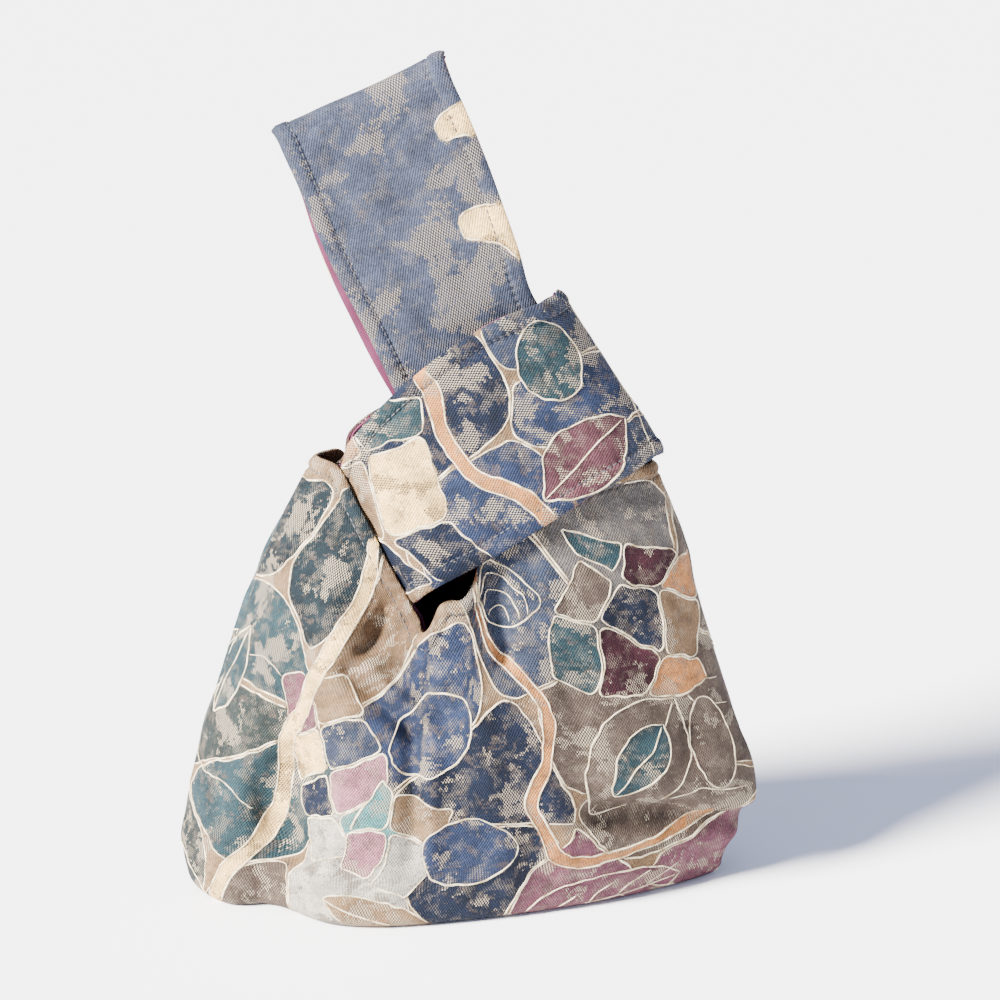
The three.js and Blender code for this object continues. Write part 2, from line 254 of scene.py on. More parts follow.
def addFloor():
    material, tree, shader = newMaterial("white cotton backdrop", roughness=0.95, specular=0.2)
    shader.inputs["Base Color"].default_value = linear(view["floorColour"])
    reach = view["floorReach"]
    mesh = bpy.data.meshes.new("floor")
    corners = [(-reach, -reach, 0), (reach, -reach, 0), (reach, reach, 0), (-reach, reach, 0)]
    mesh.from_pydata(corners, [], [(0, 1, 2, 3)])
    mesh.materials.append(material)
    floor = addItem("floor", mesh)
    floor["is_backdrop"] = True


def addWorld():
    world = bpy.data.worlds.new("pale studio")
    world.use_nodes = True
    sky = world.node_tree.nodes["Background"]
    sky.inputs["Color"].default_value = linear(view["skyColour"])
    sky.inputs["Strength"].default_value = view["worldStrength"]
    bpy.context.scene.world = world


print("camera, light and floor")
addCamera()
addLights()
addFloor()
addWorld()

tapestry = {
    "warpPitch": 1.22, "weftPitch": 1.86,  # mm for two threads, which show as rows of offset dots
    "thread": (1.22, 0.93, 1.0),  # mm, so that worn places end along the threads
    "ragged": (7, 0.56, 0.59, 0.42),  # size in mm, the noise where it starts and is whole, share
    "worn": (19, 0.55, 0.562, 1.0), "faint": (9, 0.5, 0.6, 0.34), "dotsWhole": 0.35,
    "broad": (13, 8.0, 0.66), "fine": (1.3, 4.0, 0.75),  # noise: size in mm, detail, roughness
    "broadShade": (0.33, 0.67, 0.6, 1.5),  # from and to in the pattern, how dark, how light
    "fineShade": (0.32, 0.68, 0.66, 1.42), "wornShade": (0.0, 1.0, 1.0, 0.72),
    "threadShade": (-1.0, 1.0, 0.8, 1.16),
    "weft": "#a0937f", "brownWeft": "#46372a", "ground": "#4a4039",
    "darkDye": 0.12, "paleDye": 0.24,  # luminance of the dyes that show a pale or a brown weft
    "bump": 0.22, "bumpStrength": 0.9, "fineRise": 1.2, "roughness": 0.75, "specular": 0.12,
}
strapTapestryLook = dict(
    tapestry, ragged=(14, 0.6, 0.63, 0.42), worn=(30, 0.52, 0.532, 1.0), weft="#857a6d")
palette = {
    "blue": "#1c2438", "navy": "#0f1523", "slate": "#242a38", "teal": "#1b2b30",
    "deepTeal": "#10191e", "paleTeal": "#24373f", "mint": "#416b6b", "taupe": "#40362f",
    "olive": "#1f2524", "sand": "#65503a", "cream": "#c2a26c", "peach": "#8f5f37",
    "pink": "#50303a", "palePink": "#774f59", "rose": "#40262c", "burgundy": "#2a1219",
    "brown": "#54412f", "strap": "#2f3442", "grey": "#464341", "paleGrey": "#88827a",
}


def weavePattern(tree, place, warpPitch, weftPitch):  # from -1 to 1, in a chequer of threads
    # the threads wander a little, in lumps of 3 mm
    lumps = addNode(tree, "TexNoise", {"Vector": place, "Scale": 1 / 3, "Detail": 2.0}, "Color")
    shift = addNode(tree, "VectorMath", {0: lumps, 1: (0.5, 0.5, 0.0), 2: place},
                    operation="MULTIPLY_ADD")
    turned = addNode(tree, "VectorMath", {
        0: shift, 1: (2 * math.pi / warpPitch, 2 * math.pi / weftPitch, 0.0)}, operation="MULTIPLY")
    waves = addNode(tree, "VectorMath", {0: turned}, operation="SINE")
    x = addNode(tree, "SeparateXYZ", {0: waves}, 0)
    y = addNode(tree, "SeparateXYZ", {0: waves}, 1)
    return addNode(tree, "Math", {0: x, 1: y}, operation="MULTIPLY")


def zonesOf(tree, place, size, start, whole, share):  # ragged places of a size in mm
    lumps = addNode(tree, "TexNoise", {
        "Vector": place, "Scale": 1 / size, "Detail": 9.0, "Roughness": 0.68,
        "Distortion": 0.4}, "Fac")
    return addNode(tree, "MapRange", {0: lumps, 1: start, 2: whole, 3: 0.0, 4: share})


def shaded(tree, base, value, shade):  # a colour darkened and lit by a pattern
    low, high, dark, light = shade
    factor = addNode(tree, "MapRange", {0: value, 1: low, 2: high, 3: dark, 4: light})
    return addNode(tree, "Mix", {0: 1.0, 6: base, 7: factor}, 2, data_type="RGBA",
                   blend_type="MULTIPLY")


def mottled(tree, place, size, grain, spread, dark, light):  # two tones of a dye, in soft lumps
    lumps = addNode(tree, "TexNoise", {
        "Vector": place, "Scale": 1 / size, "Detail": grain[0], "Roughness": grain[1]}, "Fac")
    share = addNode(tree, "MapRange", {0: lumps, 1: spread[0], 2: spread[1]})
    return addNode(tree, "Mix", {
        0: share, 6: linear(dark), 7: linear(light)}, 2, data_type="RGBA")


def dress(tree, shader, base, height=None, strength=0.0, rise=0.0):  # its colour and bump, in mm
    tree.links.new(base, shader.inputs["Base Color"])
    if height is not None:
        bump = addNode(tree, "Bump", {
            "Height": height, "Strength": strength, "Distance": rise * mm})
        tree.links.new(bump, shader.inputs["Normal"])


def addTapestry(name, look):  # dyed warp with paler weft, which shows as dots where it is worn
    material, tree, shader = newMaterial(name, look["roughness"], look["specular"])
    place = addNode(tree, "UVMap", {}, "UV", uv_map="cloth")
    alongThreads = addNode(tree, "VectorMath", {0: place, 1: look["thread"]}, operation="SNAP")
    threads = weavePattern(tree, place, look["warpPitch"], look["weftPitch"])
    dots = addNode(tree, "MapRange", {0: threads, 1: 0.0, 2: look["dotsWhole"]})
    dye = addNode(tree, "Attribute", {}, "Color", attribute_name="dye")
    broad, fine = [
        addNode(tree, "TexNoise", {
            "Vector": place, "Scale": 1 / size, "Detail": detail, "Roughness": roughness}, "Fac")
        for size, detail, roughness in (look["broad"], look["fine"])
    ]
    ragged, worn, faint = [
        zonesOf(tree, alongThreads, *look[zone]) for zone in ("ragged", "worn", "faint")]
    base = addNode(tree, "Mix", {
        0: ragged, 6: dye, 7: linear(look["ground"])}, 2, data_type="RGBA")
    base = shaded(tree, base, broad, look["broadShade"])
    base = shaded(tree, base, fine, look["fineShade"])
    light = addNode(tree, "RGBToBW", {0: dye})
    isPale = addNode(tree, "MapRange", {0: light, 1: look["darkDye"], 2: look["paleDye"]})
    weft = addNode(tree, "Mix", {
        0: isPale, 6: linear(look["weft"]), 7: linear(look["brownWeft"])}, 2, data_type="RGBA")
    base = shaded(tree, base, worn, look["wornShade"])
    for zone in (worn, faint):
        shown = addNode(tree, "Math", {0: zone, 1: dots}, operation="MULTIPLY")
        base = addNode(tree, "Mix", {0: shown, 6: base, 7: weft}, 2, data_type="RGBA")
    base = shaded(tree, base, threads, look["threadShade"])
    height = addNode(tree, "Math", {
        0: fine, 1: look["fineRise"], 2: threads}, operation="MULTIPLY_ADD")
    dress(tree, shader, base, height, look["bumpStrength"], look["bump"])
    return material


# cotton poplin, piece dyed: matt, with a thread that is too fine to show, so drawn at 1.4 mm
def addLiningMaterial():
    material, tree, shader = newMaterial("burgundy cotton poplin", roughness=0.8, specular=0.2)
    place = addNode(tree, "UVMap", {}, "UV", uv_map="cloth")
    threads = weavePattern(tree, place, warpPitch=1.4, weftPitch=1.4)
    base = mottled(
        tree, place, size=16, grain=(4.0, 0.5), spread=(0.0, 1.0), dark="#3c1526",
        light="#703655")
    base = shaded(tree, base, threads, shade=(-1.0, 1.0, 0.85, 1.1))
    dress(tree, shader, base, threads, strength=0.4, rise=0.07)
    return material


def addCordMaterial():  # slub cotton weft floats: matt, cream, raised over the dyed ground
    material, tree, shader = newMaterial(
        "cream cotton weft float", roughness=0.85, specular=0.2)
    place = addNode(tree, "UVMap", {}, "UV", uv_map="cloth")
    base = mottled(
        tree, place, size=7, grain=(6.0, 0.7), spread=(0.38, 0.62), dark="#8a7858",
        light="#eaddbf")
    fibre = addNode(tree, "TexNoise", {"Vector": place, "Scale": 1 / 0.7, "Detail": 3.0}, "Fac")
    base = shaded(tree, base, fibre, shade=(0.3, 0.7, 0.7, 1.25))
    dress(tree, shader, base, fibre, strength=0.7, rise=0.25)
    return material


def addThreadMaterial():  # spun polyester sewing thread: matt with a faint gloss
    material, tree, shader = newMaterial(
        "grey blue sewing thread", roughness=0.55, specular=0.5)
    place = addNode(tree, "TexCoord", {}, "Object")  # in metres
    base = mottled(
        tree, place, size=1 / 900, grain=(2.0, 0.5), spread=(0.0, 1.0), dark="#23252f",
        light="#4a494c")
    dress(tree, shader, base)
    return material


# jacquard tapestry, woven: matt, dark dyes broken by ragged places and dots of paler weft
bodyTapestry = addTapestry("jacquard tapestry", tapestry)
strapTapestry = addTapestry("grey blue jacquard tapestry", strapTapestryLook)
liningCloth = addLiningMaterial()
cordCloth = addCordMaterial()
sewingThread = addThreadMaterial()

# the woven design: patches of colour in raised outlines, on flat cloth in mm
design = {
    "inset": 0.5, "swell": 2.4, "swellSize": 22, "wobble": 2.4, "wobbleSize": 19,
    "jitter": 0.7, "jitterSize": 4, "patchShift": 0.27, "drawStep": 2, "bandStep": 3,
    "outline": 0.78, "thinLine": 0.6, "cordHeight": 0.34, "taperLength": 2.5, "tip": 0.25,
    "slub": 0.42, "slubSize": 8, "step": 1.2, "fewest": 4, "channel": "sand",
    "offEdge": 0.3, "facingDown": -0.7,  # a line ends off the cloth's edge and under the bag
}


def clipped(polygon, point, normal):  # the part of a convex polygon behind a line
    result = []
    for a, b in zip(polygon, polygon[1:] + polygon[:1]):
        da, db = (a - point) @ normal, (b - point) @ normal
        if da <= 0:
            result.append(a)
        if da * db < 0:
            result.append(a + (b - a) * da / (da - db))
    return result


def rounded(points, turns, cut, closed=True):  # corners cut off again and again
    points = np.array(points, float)
    for _ in range(turns):
        after = np.roll(points, -1, axis=0)
        pairs = np.stack([mix(points, after, cut), mix(points, after, 1 - cut)], axis=1)
        if closed:
            points = pairs.reshape(-1, 2)
        else:
            points = np.concatenate([points[:1], pairs[:-1].reshape(-1, 2), points[-1:]])
    return points


def wobbled(points):  # as if drawn by hand; shapes that touch are moved alike
    u, v = points[:, 0], points[:, 1]
    shift = [
        lumpsOf(u, v, (
            (design["wobble"], design["wobbleSize"], 70 + k),
            (design["jitter"], design["jitterSize"], 80 + k)))
        for k in (0, 1)
    ]
    return points + stacked(*shift)


def leftOf(along):  # unit vectors to the left of steps on the flat cloth
    return unit(stacked(-along[:, 1], along[:, 0]))


def placed(row, x, y):  # turned and moved as the row of a table says
    turn = math.radians(row["turn"])
    across = x * math.cos(turn) - y * math.sin(turn) + row["x"]
    up = x * math.sin(turn) + y * math.cos(turn) + row["y"]
    return stacked(across, up)


def handDrawn(polygon, cut, turns):  # a closed shape, smaller than its polygon, more in places
    points = evenly(rounded(polygon, turns, cut), design["drawStep"], closed=True)[:-1]
    inward = leftOf(np.roll(points, -1, axis=0) - np.roll(points, 1, axis=0))
    wide = np.clip(softNoise(points[:, 0], points[:, 1], design["swellSize"], 60), 0, 1) ** 2
    return wobbled(points + inward * (design["inset"] + design["swell"] * wide)[:, None])


def fieldsOf(rows, box):  # the broad fields: each takes in what lies nearer to it than to others
    places = [np.array([row["x"], row["y"]], float) for row in rows]
    fields = []
    for place in places:
        field = [np.array(c, float) for c in (
            (box[0], box[1]), (box[2], box[1]), (box[2], box[3]), (box[0], box[3]))]
        for other in places:
            if other is not place:
                field = clipped(field, (place + other) / 2, other - place)
        fields.append(handDrawn(field, cut=0.17, turns=3))
    return fields


def patchesOf(row, random):  # rows of patches with shared corners
    columns, rows = row["columns"], row["rows"]
    x, y = np.meshgrid(np.arange(columns + 1) - columns / 2, np.arange(rows + 1) - rows / 2)
    shift = design["patchShift"]
    x = (x + random.uniform(-shift, shift, x.shape)) * row["wide"]
    y = (y + random.uniform(-shift, shift, y.shape)) * row["high"]
    corners = placed(row, x, y)
    names = row["colours"].split()
    patches = []
    for i in range(rows):
        for k in range(columns):
            quad = [corners[i, k], corners[i, k + 1], corners[i + 1, k + 1], corners[i + 1, k]]
            colour = names[(i * columns + k) % len(names)]
            outline = handDrawn(quad, cut=0.09, turns=2)
            patches.append({"outline": outline, "colour": colour, "lines": []})
    return patches


def oval(row, point):  # point above 0 draws its ends out to tips
    angle = np.linspace(0, 2 * math.pi, 61)[:-1]
    x = np.cos(angle)
    y = np.sin(angle) * np.abs(np.sin(angle)) ** point
    return inner(row, list(zip(x, y)))


def stone(row):  # an uneven shape with blunt corners
    corners = [
        (-0.95, 0.1), (-0.5, 0.8), (0.25, 0.5), (0.9, 0.95), (1, -0.1), (0.5, -0.95), (-0.3, -0.6)]
    return inner(row, evenly(rounded(corners, turns=2, cut=0.17), 0.04, closed=True)[:-1])


def inner(row, points):  # points given as shares of a motif's half sizes
    x, y = np.array(points).T * np.array([[row["wide"] / 2], [row["high"] / 2]])
    return wobbled(placed(row, x, y))


def motifLines(row):
    lines = []
    if row["kind"] == "leaf":
        lines.append([(-0.96, 0), (-0.3, 0.08), (0.3, -0.06), (0.94, 0)])
    if row["kind"] == "veined":
        lines.append([(-0.96, 0), (-0.3, 0.06), (0.3, -0.04), (0.94, 0)])
        for k in (-0.55, -0.15, 0.25, 0.6):
            for reach in (0.62 * (1 - k * k), -0.62 * (1 - k * k)):
                lines.append([(k, 0), (k + 0.14, reach / 2), (k + 0.34, reach)])
    if row["kind"] == "fan":
        angle = np.linspace(0.3, 2.84, 24)
        for k in (0.3, 0.55, 0.8):
            lines.append(list(zip(k * np.cos(angle), 1.9 * k * np.sin(angle) - 0.95)))
    return lines


def inside(polygon, x, y):  # which places lie in a closed shape
    hit = np.zeros(np.shape(x), bool)
    low, high = polygon.min(axis=0), polygon.max(axis=0)
    near = (x > low[0]) & (x < high[0]) & (y > low[1]) & (y < high[1])
    if not near.any():
        return hit
    px, py = x[near], y[near]
    odd = np.zeros(px.shape, bool)
    for a, b in zip(polygon, np.roll(polygon, -1, axis=0)):
        if a[1] != b[1]:
            crosses = (a[1] > py) != (b[1] > py)
            odd ^= crosses & (px < a[0] + (py - a[1]) * (b[0] - a[0]) / (b[1] - a[1]))
    hit[near] = odd
    return hit


def runsOf(mask):  # first and last places of each unbroken run that is long enough for a line
    edges = np.flatnonzero(np.diff(np.concatenate([[False], mask, [False]]).astype(int)))
    return [(a, b) for a, b in zip(edges[::2], edges[1::2]) if b - a >= design["fewest"]]


def evenly(points, step, closed=False):
    if closed:
        points = np.concatenate([points, points[:1]])
    reach = reachOf(points)
    count = max(3, int(reach[-1] / step))
    return sampled(points, reach, np.linspace(0, reach[-1], count + 1))


def curve(way, step):  # an open line with its corners rounded
    return evenly(rounded(way, turns=3, cut=0.25, closed=False), step)


def bandOutline(way, width):
    points = curve(way, design["bandStep"])
    side = leftOf(np.gradient(points, axis=0)) * width / 2
    return wobbled(np.concatenate([points + side, (points - side)[::-1]]))


def makeDesign(plan):  # shapes to fill and lines to raise, from the lowest to the topmost
    random = np.random.default_rng(plan["seed"])
    shapes = []

    def add(outline, colour, lines=()):
        shapes.append({"outline": outline, "colour": colour, "lines": lines})

    for row, outline in zip(plan["fields"], fieldsOf(plan["fields"], plan["box"])):
        add(outline, row["colour"])
    for way in plan["openLines"]:
        add(None, None, [wobbled(curve(way, design["drawStep"]))])
    for row in plan["patches"]:
        shapes += patchesOf(row, random)
    for band in plan["bands"]:
        add(bandOutline(band["way"], band["width"]), band["colour"])
    for row in plan["motifs"]:
        tips = 0.9 if row["kind"] in ("leaf", "veined") else 0.0
        outline = stone(row) if row["kind"] == "stone" else oval(row, tips)
        lines = [evenly(inner(row, line), design["drawStep"]) for line in motifLines(row)]
        add(outline, row["colour"], lines)
    return shapes


def dyeOf(plan, shapes, flat):  # the colour of the cloth at each place
    u, v = flat[..., 0], flat[..., 1]
    dye = np.empty(u.shape + (4,))
    dye[...] = linear(palette[plan.get("channel", design["channel"])])
    for shape in shapes:
        if shape["outline"] is not None:
            dye[inside(shape["outline"], u, v)] = linear(palette[shape["colour"]])
    return dye


def visibleLines(shapes):  # pieces of the raised lines that no later shape covers
    runs = []
    for index, shape in enumerate(shapes):
        lines = [(line, design["thinLine"]) for line in shape["lines"]]
        if shape["outline"] is not None:
            lines.append((evenly(shape["outline"], design["step"], True), design["outline"]))
        for line, width in lines:
            line = evenly(line, design["step"])
            covered = np.zeros(len(line), bool)
            for later in shapes[index + 1:]:
                if later["outline"] is not None:
                    covered |= inside(later["outline"], line[:, 0], line[:, 1])
            runs += [(line[start:end], width) for start, end in runsOf(~covered)]
    return runs


def layTool(points, flat):  # finds the place on a surface for a place on its flat cloth
    rows, columns = flat.shape[:2]
    corners = np.concatenate([flat, np.zeros((rows, columns, 1))], axis=-1).reshape(-1, 3)
    quads = gridFaces(rows, columns, closed=False)
    triangles = np.concatenate([quads[:, [0, 1, 2]], quads[:, [0, 2, 3]]])
    tree = BVHTree.FromPolygons(corners.tolist(), triangles.tolist())
    surface = points.reshape(-1, 3)
    normals = gridNormals(points, False).reshape(-1, 3)

    def lay(places):
        found, facing, isOn = [], [], []
        for place in places:
            spot, _, face, away = tree.find_nearest((float(place[0]), float(place[1]), 0.0))
            corner = triangles[face]
            weights = np.array(poly_3d_calc([Vector(corners[c]) for c in corner], spot))
            found.append(weights @ surface[corner])
            facing.append(weights @ normals[corner])
            isOn.append(away < design["offEdge"] and facing[-1][2] > design["facingDown"])
        return np.array(found), unit(np.array(facing)), np.array(isOn)

    return lay


cordProfile = np.array([
    (-1, -0.45), (-0.82, 0.5), (-0.3, 0.95), (0.3, 0.95), (0.82, 0.5), (1, -0.45)])


def cordMesh(points, normals, width, seed):
    side = unit(np.cross(unit(np.gradient(points, axis=0)), normals))
    reach = reachOf(points)
    ends = np.minimum(reach, reach[-1] - reach)
    taper = np.minimum(1, ends / design["taperLength"] + design["tip"])
    slub = 1 + design["slub"] * softNoise(reach, 0 * reach + seed * 7.7, design["slubSize"], 8)
    wide, high = width / 2 * taper * slub, design["cordHeight"] * taper
    x = cordProfile[None, :, 0, None] * wide[:, None, None] * side[:, None]
    z = cordProfile[None, :, 1, None] * high[:, None, None] * normals[:, None]
    rings = points[:, None] + x + z
    count = len(cordProfile)
    faces = gridFaces(len(points), count).tolist()
    faces.append(tuple(range(count))[::-1])
    faces.append(tuple((len(points) - 1) * count + k for k in range(count)))
    around = np.arange(count + 1) * width / 2
    uv = stacked(*np.meshgrid(reach + seed * 31, around, indexing="ij"))
    corners = np.concatenate([cornersOf(uv).reshape(-1, 2), np.zeros((2 * count, 2))])
    return rings.reshape(-1, 3), faces, corners


def joined(parts):  # the points and faces of many parts as those of one
    starts = np.cumsum([0] + [len(part[0]) for part in parts]).tolist()
    faces = [
        [k + start for k in face] for part, start in zip(parts, starts) for face in part[1]]
    return np.concatenate([part[0] for part in parts]) + middle, faces


def addCords(name, lays):  # lays is a list of lay tools with their lines
    parts = []
    for lay, runs in lays:
        for seed, (line, width) in enumerate(runs):
            points, normals, isOn = lay(line)
            for start, end in runsOf(isOn):
                parts.append(cordMesh(points[start:end], normals[start:end], width, seed))
    points, faces = joined(parts)
    uv = np.concatenate([part[2] for part in parts])
    cords = makeObject(name, points, faces, cordCloth, uv)
    print(name, "faces", len(faces))


plans = {"front": {
    "seed": 11, "box": (-160, -60, 160, 200),
    "fields": table("x y colour", [
        (-128, 172, "deepTeal"), (-116, 128, "teal"), (-124, 86, "olive"), (-108, 52, "teal"),
        (-128, 18, "olive"), (-92, -6, "taupe"), (-84, 160, "deepTeal"), (-44, 146, "brown"),
        (-36, 10, "paleGrey"), (-10, 108, "blue"), (18, 74, "navy"), (12, 30, "navy"),
        (40, 140, "slate"), (70, 96, "taupe"), (118, 104, "taupe"), (96, 52, "taupe"),
        (64, 6, "pink"), (118, 6, "pink"), (92, 160, "grey"), (140, 150, "taupe"),
        (0, -34, "taupe"), (-70, -44, "teal"), (70, -44, "rose"),
    ]),
    "patches": table("x y turn columns rows wide high colours", [
        (-58, 76, 24, 2, 4, 19, 22, "paleGrey mint navy palePink cream slate pink sand"),
        (96, 142, -16, 3, 3, 25, 23, "teal burgundy peach taupe navy sand"),
        (-26, 48, -12, 2, 2, 18, 20, "palePink paleGrey mint sand"),
    ]),
    "bands": [
        {"way": [(-66, 176), (-66, 134), (-84, 96), (-84, 50), (-104, 6), (-100, -30)],
         "width": 7, "colour": "cream"},
        {"way": [(12, 160), (22, 132), (44, 112), (46, 84), (34, 58), (44, 30), (80, 30),
                 (124, 44)], "width": 5, "colour": "peach"},
    ],
    "motifs": table("kind x y wide high turn colour", [
        ("oval", -12, 92, 46, 34, 32, "blue"), ("oval", 6, 40, 44, 30, -14, "blue"),
        ("leaf", 84, 76, 66, 46, 52, "taupe"), ("leaf", 84, 76, 40, 22, 52, "teal"),
        ("fan", 36, 150, 32, 26, -20, "slate"), ("veined", 74, 6, 84, 30, 10, "pink"),
        ("oval", 122, 78, 26, 40, 8, "taupe"), ("leaf", -24, 8, 52, 20, -16, "sand"),
        ("leaf", -126, 108, 46, 22, 70, "teal"),
    ]),
    "openLines": [
        [(-150, 130), (-130, 122), (-108, 118), (-88, 110)],
        [(-150, 66), (-128, 58), (-112, 60), (-96, 52)],
        [(-146, 30), (-126, 22), (-104, 6), (-92, 4)],
        [(60, 60), (84, 48), (112, 60), (140, 54)], [(84, -6), (110, 4), (140, 6)],
        [(104, 122), (116, 104), (136, 104)], [(106, 112), (118, 94), (138, 92)],
        [(-32, 88), (-14, 100), (4, 96), (8, 84)],
    ],
}, "back": {
    "seed": 23, "box": (-160, -60, 160, 200),
    "fields": table("x y colour", [
        (-120, 150, "taupe"), (-122, 90, "pink"), (-118, 30, "teal"), (-70, 160, "slate"),
        (-64, 60, "taupe"), (-50, 0, "pink"), (-16, 120, "blue"), (6, 60, "navy"),
        (10, 4, "taupe"), (50, 150, "teal"), (56, 90, "taupe"), (76, 30, "slate"),
        (118, 140, "paleTeal"), (124, 70, "teal"), (122, 6, "taupe"), (-40, -40, "teal"),
        (50, -40, "taupe"),
    ]),
    "patches": table("x y turn columns rows wide high colours", [
        (-70, 112, 18, 3, 3, 24, 23, "teal cream navy sand burgundy peach grey"),
        (46, 52, -22, 3, 2, 25, 24, "rose peach teal taupe cream"),
    ]),
    "bands": [
        {"way": [(-130, 60), (-80, 66), (-34, 60), (-6, 96), (4, 150), (0, 190)], "width": 7,
         "colour": "cream"},
        {"way": [(92, -30), (98, 30), (86, 84), (98, 130), (92, 190)], "width": 6,
         "colour": "peach"},
    ],
    "motifs": table("kind x y wide high turn colour", [
        ("veined", -38, 22, 76, 34, 24, "pink"), ("oval", 44, 122, 44, 36, 12, "slate"),
        ("fan", -98, 20, 44, 32, -12, "teal"), ("leaf", 122, 96, 56, 28, 75, "teal"),
        ("oval", 6, 4, 46, 26, 8, "sand"), ("leaf", -20, 130, 50, 28, 60, "blue"),
    ]),
    "openLines": [
        [(-140, 150), (-100, 146), (-70, 160)], [(-20, 20), (20, 14), (60, 24)],
        [(100, 60), (120, 52), (140, 58)], [(100, 72), (120, 64), (140, 70)],
    ],
}, "short": {
    "seed": 37, "box": (-14, -200, 90, 200),
    "fields": table("x y colour", [
        (60, -170, "teal"), (14, -165, "sand"), (38, -20, "blue"), (8, -76, "blue"),
        (70, -80, "navy"), (6, -24, "slate"), (72, -16, "slate"), (60, 36, "blue"),
        (12, 40, "taupe"), (40, 80, "teal"), (30, 150, "navy"), (70, 130, "taupe"),
    ]),
    "patches": table("x y turn columns rows wide high colours", [
        (46, -128, 8, 3, 3, 26, 26, "cream cream teal navy sand peach navy cream teal"),
        (44, 90, -10, 3, 3, 25, 27, "teal cream rose navy sand"),
    ]),
    "bands": [
        {"way": [(-12, -62), (18, -66), (36, -84), (88, -74)], "width": 7, "colour": "peach"},
    ],
    "motifs": table("kind x y wide high turn colour", [
        ("leaf", 16, -36, 50, 30, 74, "rose"), ("oval", 58, -28, 34, 30, 20, "teal"),
        ("fan", 30, 24, 40, 30, 0, "rose"),
    ]),
    "openLines": [[(-4, -10), (14, -4), (40, 2), (80, 0)]],
}, "long": {
    "seed": 41, "box": (-14, -220, 90, 220), "channel": "strap", "fields": [],
    "patches": [], "bands": [],
    "motifs": table("kind x y wide high turn colour", [
        ("stone", 71, 31, 22, 18, 14, "cream"), ("stone", 67, 74, 30, 25, 40, "cream"),
        ("stone", 77, 108, 16, 18, 0, "peach"), ("stone", -2, -60, 30, 24, 0, "cream"),
        ("stone", 62, -120, 30, 22, 10, "cream"),
    ]),
    "openLines": [],
}}

body = {
    "width": 254, "height": 192, "depth": 108, "baseRadius": 7, "cloth": 1.5,
    "halfColumns": 222, "sideRows": 148, "bendRows": 8, "baseRings": 9, "endCrowding": 0.45,
    "rimRows": (0, 9.9, 0.6), "innerColumnStep": 3, "innerRowStep": 3, "inwardReach": 9,
    "rimPlaces": 241, "rimWrap": (0, 0.6), "baseFade": (0.5, 14),
    "seamHold": 8, "seamDepth": 0.8, "seamWidth": 1.1,
    "hem": {"width": 5.2, "rise": 0.9, "groove": 1.2, "pucker": 0.3},
    "lumps": ((0.8, 30, 5), (0.5, 12, 6), (0.14, 5, 7)),  # rise and size in mm, seed
}
stitch = {
    "pitch": 3.1, "length": 2.3, "width": 0.62, "lift": 0.12, "flatness": 0.8, "sides": 6,
    "rings": ((-0.5, 0.35, -0.4), (-0.32, 1, 0), (0.32, 1, 0), (0.5, 0.35, -0.4)),
}
hemShape = {  # mm, from the stitches and from the cloth's edge
    "stepIn": 0.3, "stepOut": 0.8, "grooveWidth": 0.75, "puckerWidth": 2.6,
    "edgeLow": -0.5, "edgeFull": 1.6,
}
# the body's sections: shares of half its width and depth, where its front stands out most, and
# how square it is, at shares of its height
sections = table("height left right front back ridge leftRound rightRound backRound", [
    (0.0, 0.965, 0.865, 1.12, 0.9, 0.37, 2.1, 1.35, 2.5),
    (0.1, 0.99, 0.92, 1.13, 0.96, 0.37, 2.0, 1.45, 2.5),
    (0.18, 0.975, 1.0, 1.1, 0.97, 0.38, 1.9, 1.55, 2.4),
    (0.35, 0.925, 0.945, 1.09, 0.94, 0.4, 1.8, 1.6, 2.2),
    (0.5, 0.845, 0.865, 1.04, 0.86, 0.42, 1.8, 1.6, 2.0),
    (0.65, 0.765, 0.795, 0.95, 0.76, 0.44, 1.8, 1.65, 1.9),
    (0.8, 0.675, 0.74, 0.8, 0.66, 0.46, 1.8, 1.7, 1.8),
    (1.0, 0.51, 0.615, 0.54, 0.5, 0.46, 1.8, 1.8, 1.8),
    (1.2, 0.34, 0.42, 0.44, 0.42, 0.5, 1.9, 1.9, 1.9),
    (1.4, 0.16, 0.22, 0.36, 0.36, 0.5, 2.0, 2.0, 2.0),
])
# how high the cloth goes at each place across a panel
rims = {
    "front": table("across height", [
        (0.0, 1.0), (0.08, 0.99), (0.17, 0.925), (0.26, 0.845), (0.33, 0.76), (0.375, 0.695),
        (0.398, 0.662), (0.41, 0.68), (0.422, 0.722), (0.445, 0.737), (0.475, 0.738),
        (0.496, 0.765), (0.512, 0.82), (0.54, 0.875), (0.6, 0.915), (0.7, 0.95), (0.9, 0.985),
        (1.0, 0.985),
    ]),
    "back": table("across height", [
        (0.0, 1.0), (0.08, 0.99), (0.28, 0.84), (0.38, 0.745), (0.45, 0.735), (0.52, 0.79),
        (0.6, 0.89), (0.7, 0.94), (0.9, 0.985), (1.0, 0.985),
    ]),
}
# broad folds, in mm from the left seam and from the base
broadFolds = {
    "front": folds(
        (76.2, 134.4, 78.74, 132.48, 16.2, 8.64, 0, 1),
        (91.44, 119.04, 109.22, 92.16, 12.96, 4.32, 0, 1),
        (137.16, 161.28, 142.24, 120.96, 14.04, 5.4, 0, 1),
        (254, 19.2, 182.88, 42.24, 14.04, 7.56, 0, 1),
        (40.64, 0, 50.8, 61.44, 18.36, 12.96, 0, 1),
        (55.88, 115.2, 68.58, 48, 17.28, -5.4, 0, 1),
    ),
    "back": folds(
        (91.44, 149.76, 76.2, 76.8, 19.44, 6.48, 0, 1),
        (157.48, 153.6, 147.32, 105.6, 16.2, 5.4, 0, 1),
        (241.3, 23.04, 165.1, 42.24, 15.12, 6.48, 0, 1),
        (38.1, 0, 50.8, 57.6, 19.44, 3.24, 0, 1),
    ),
}
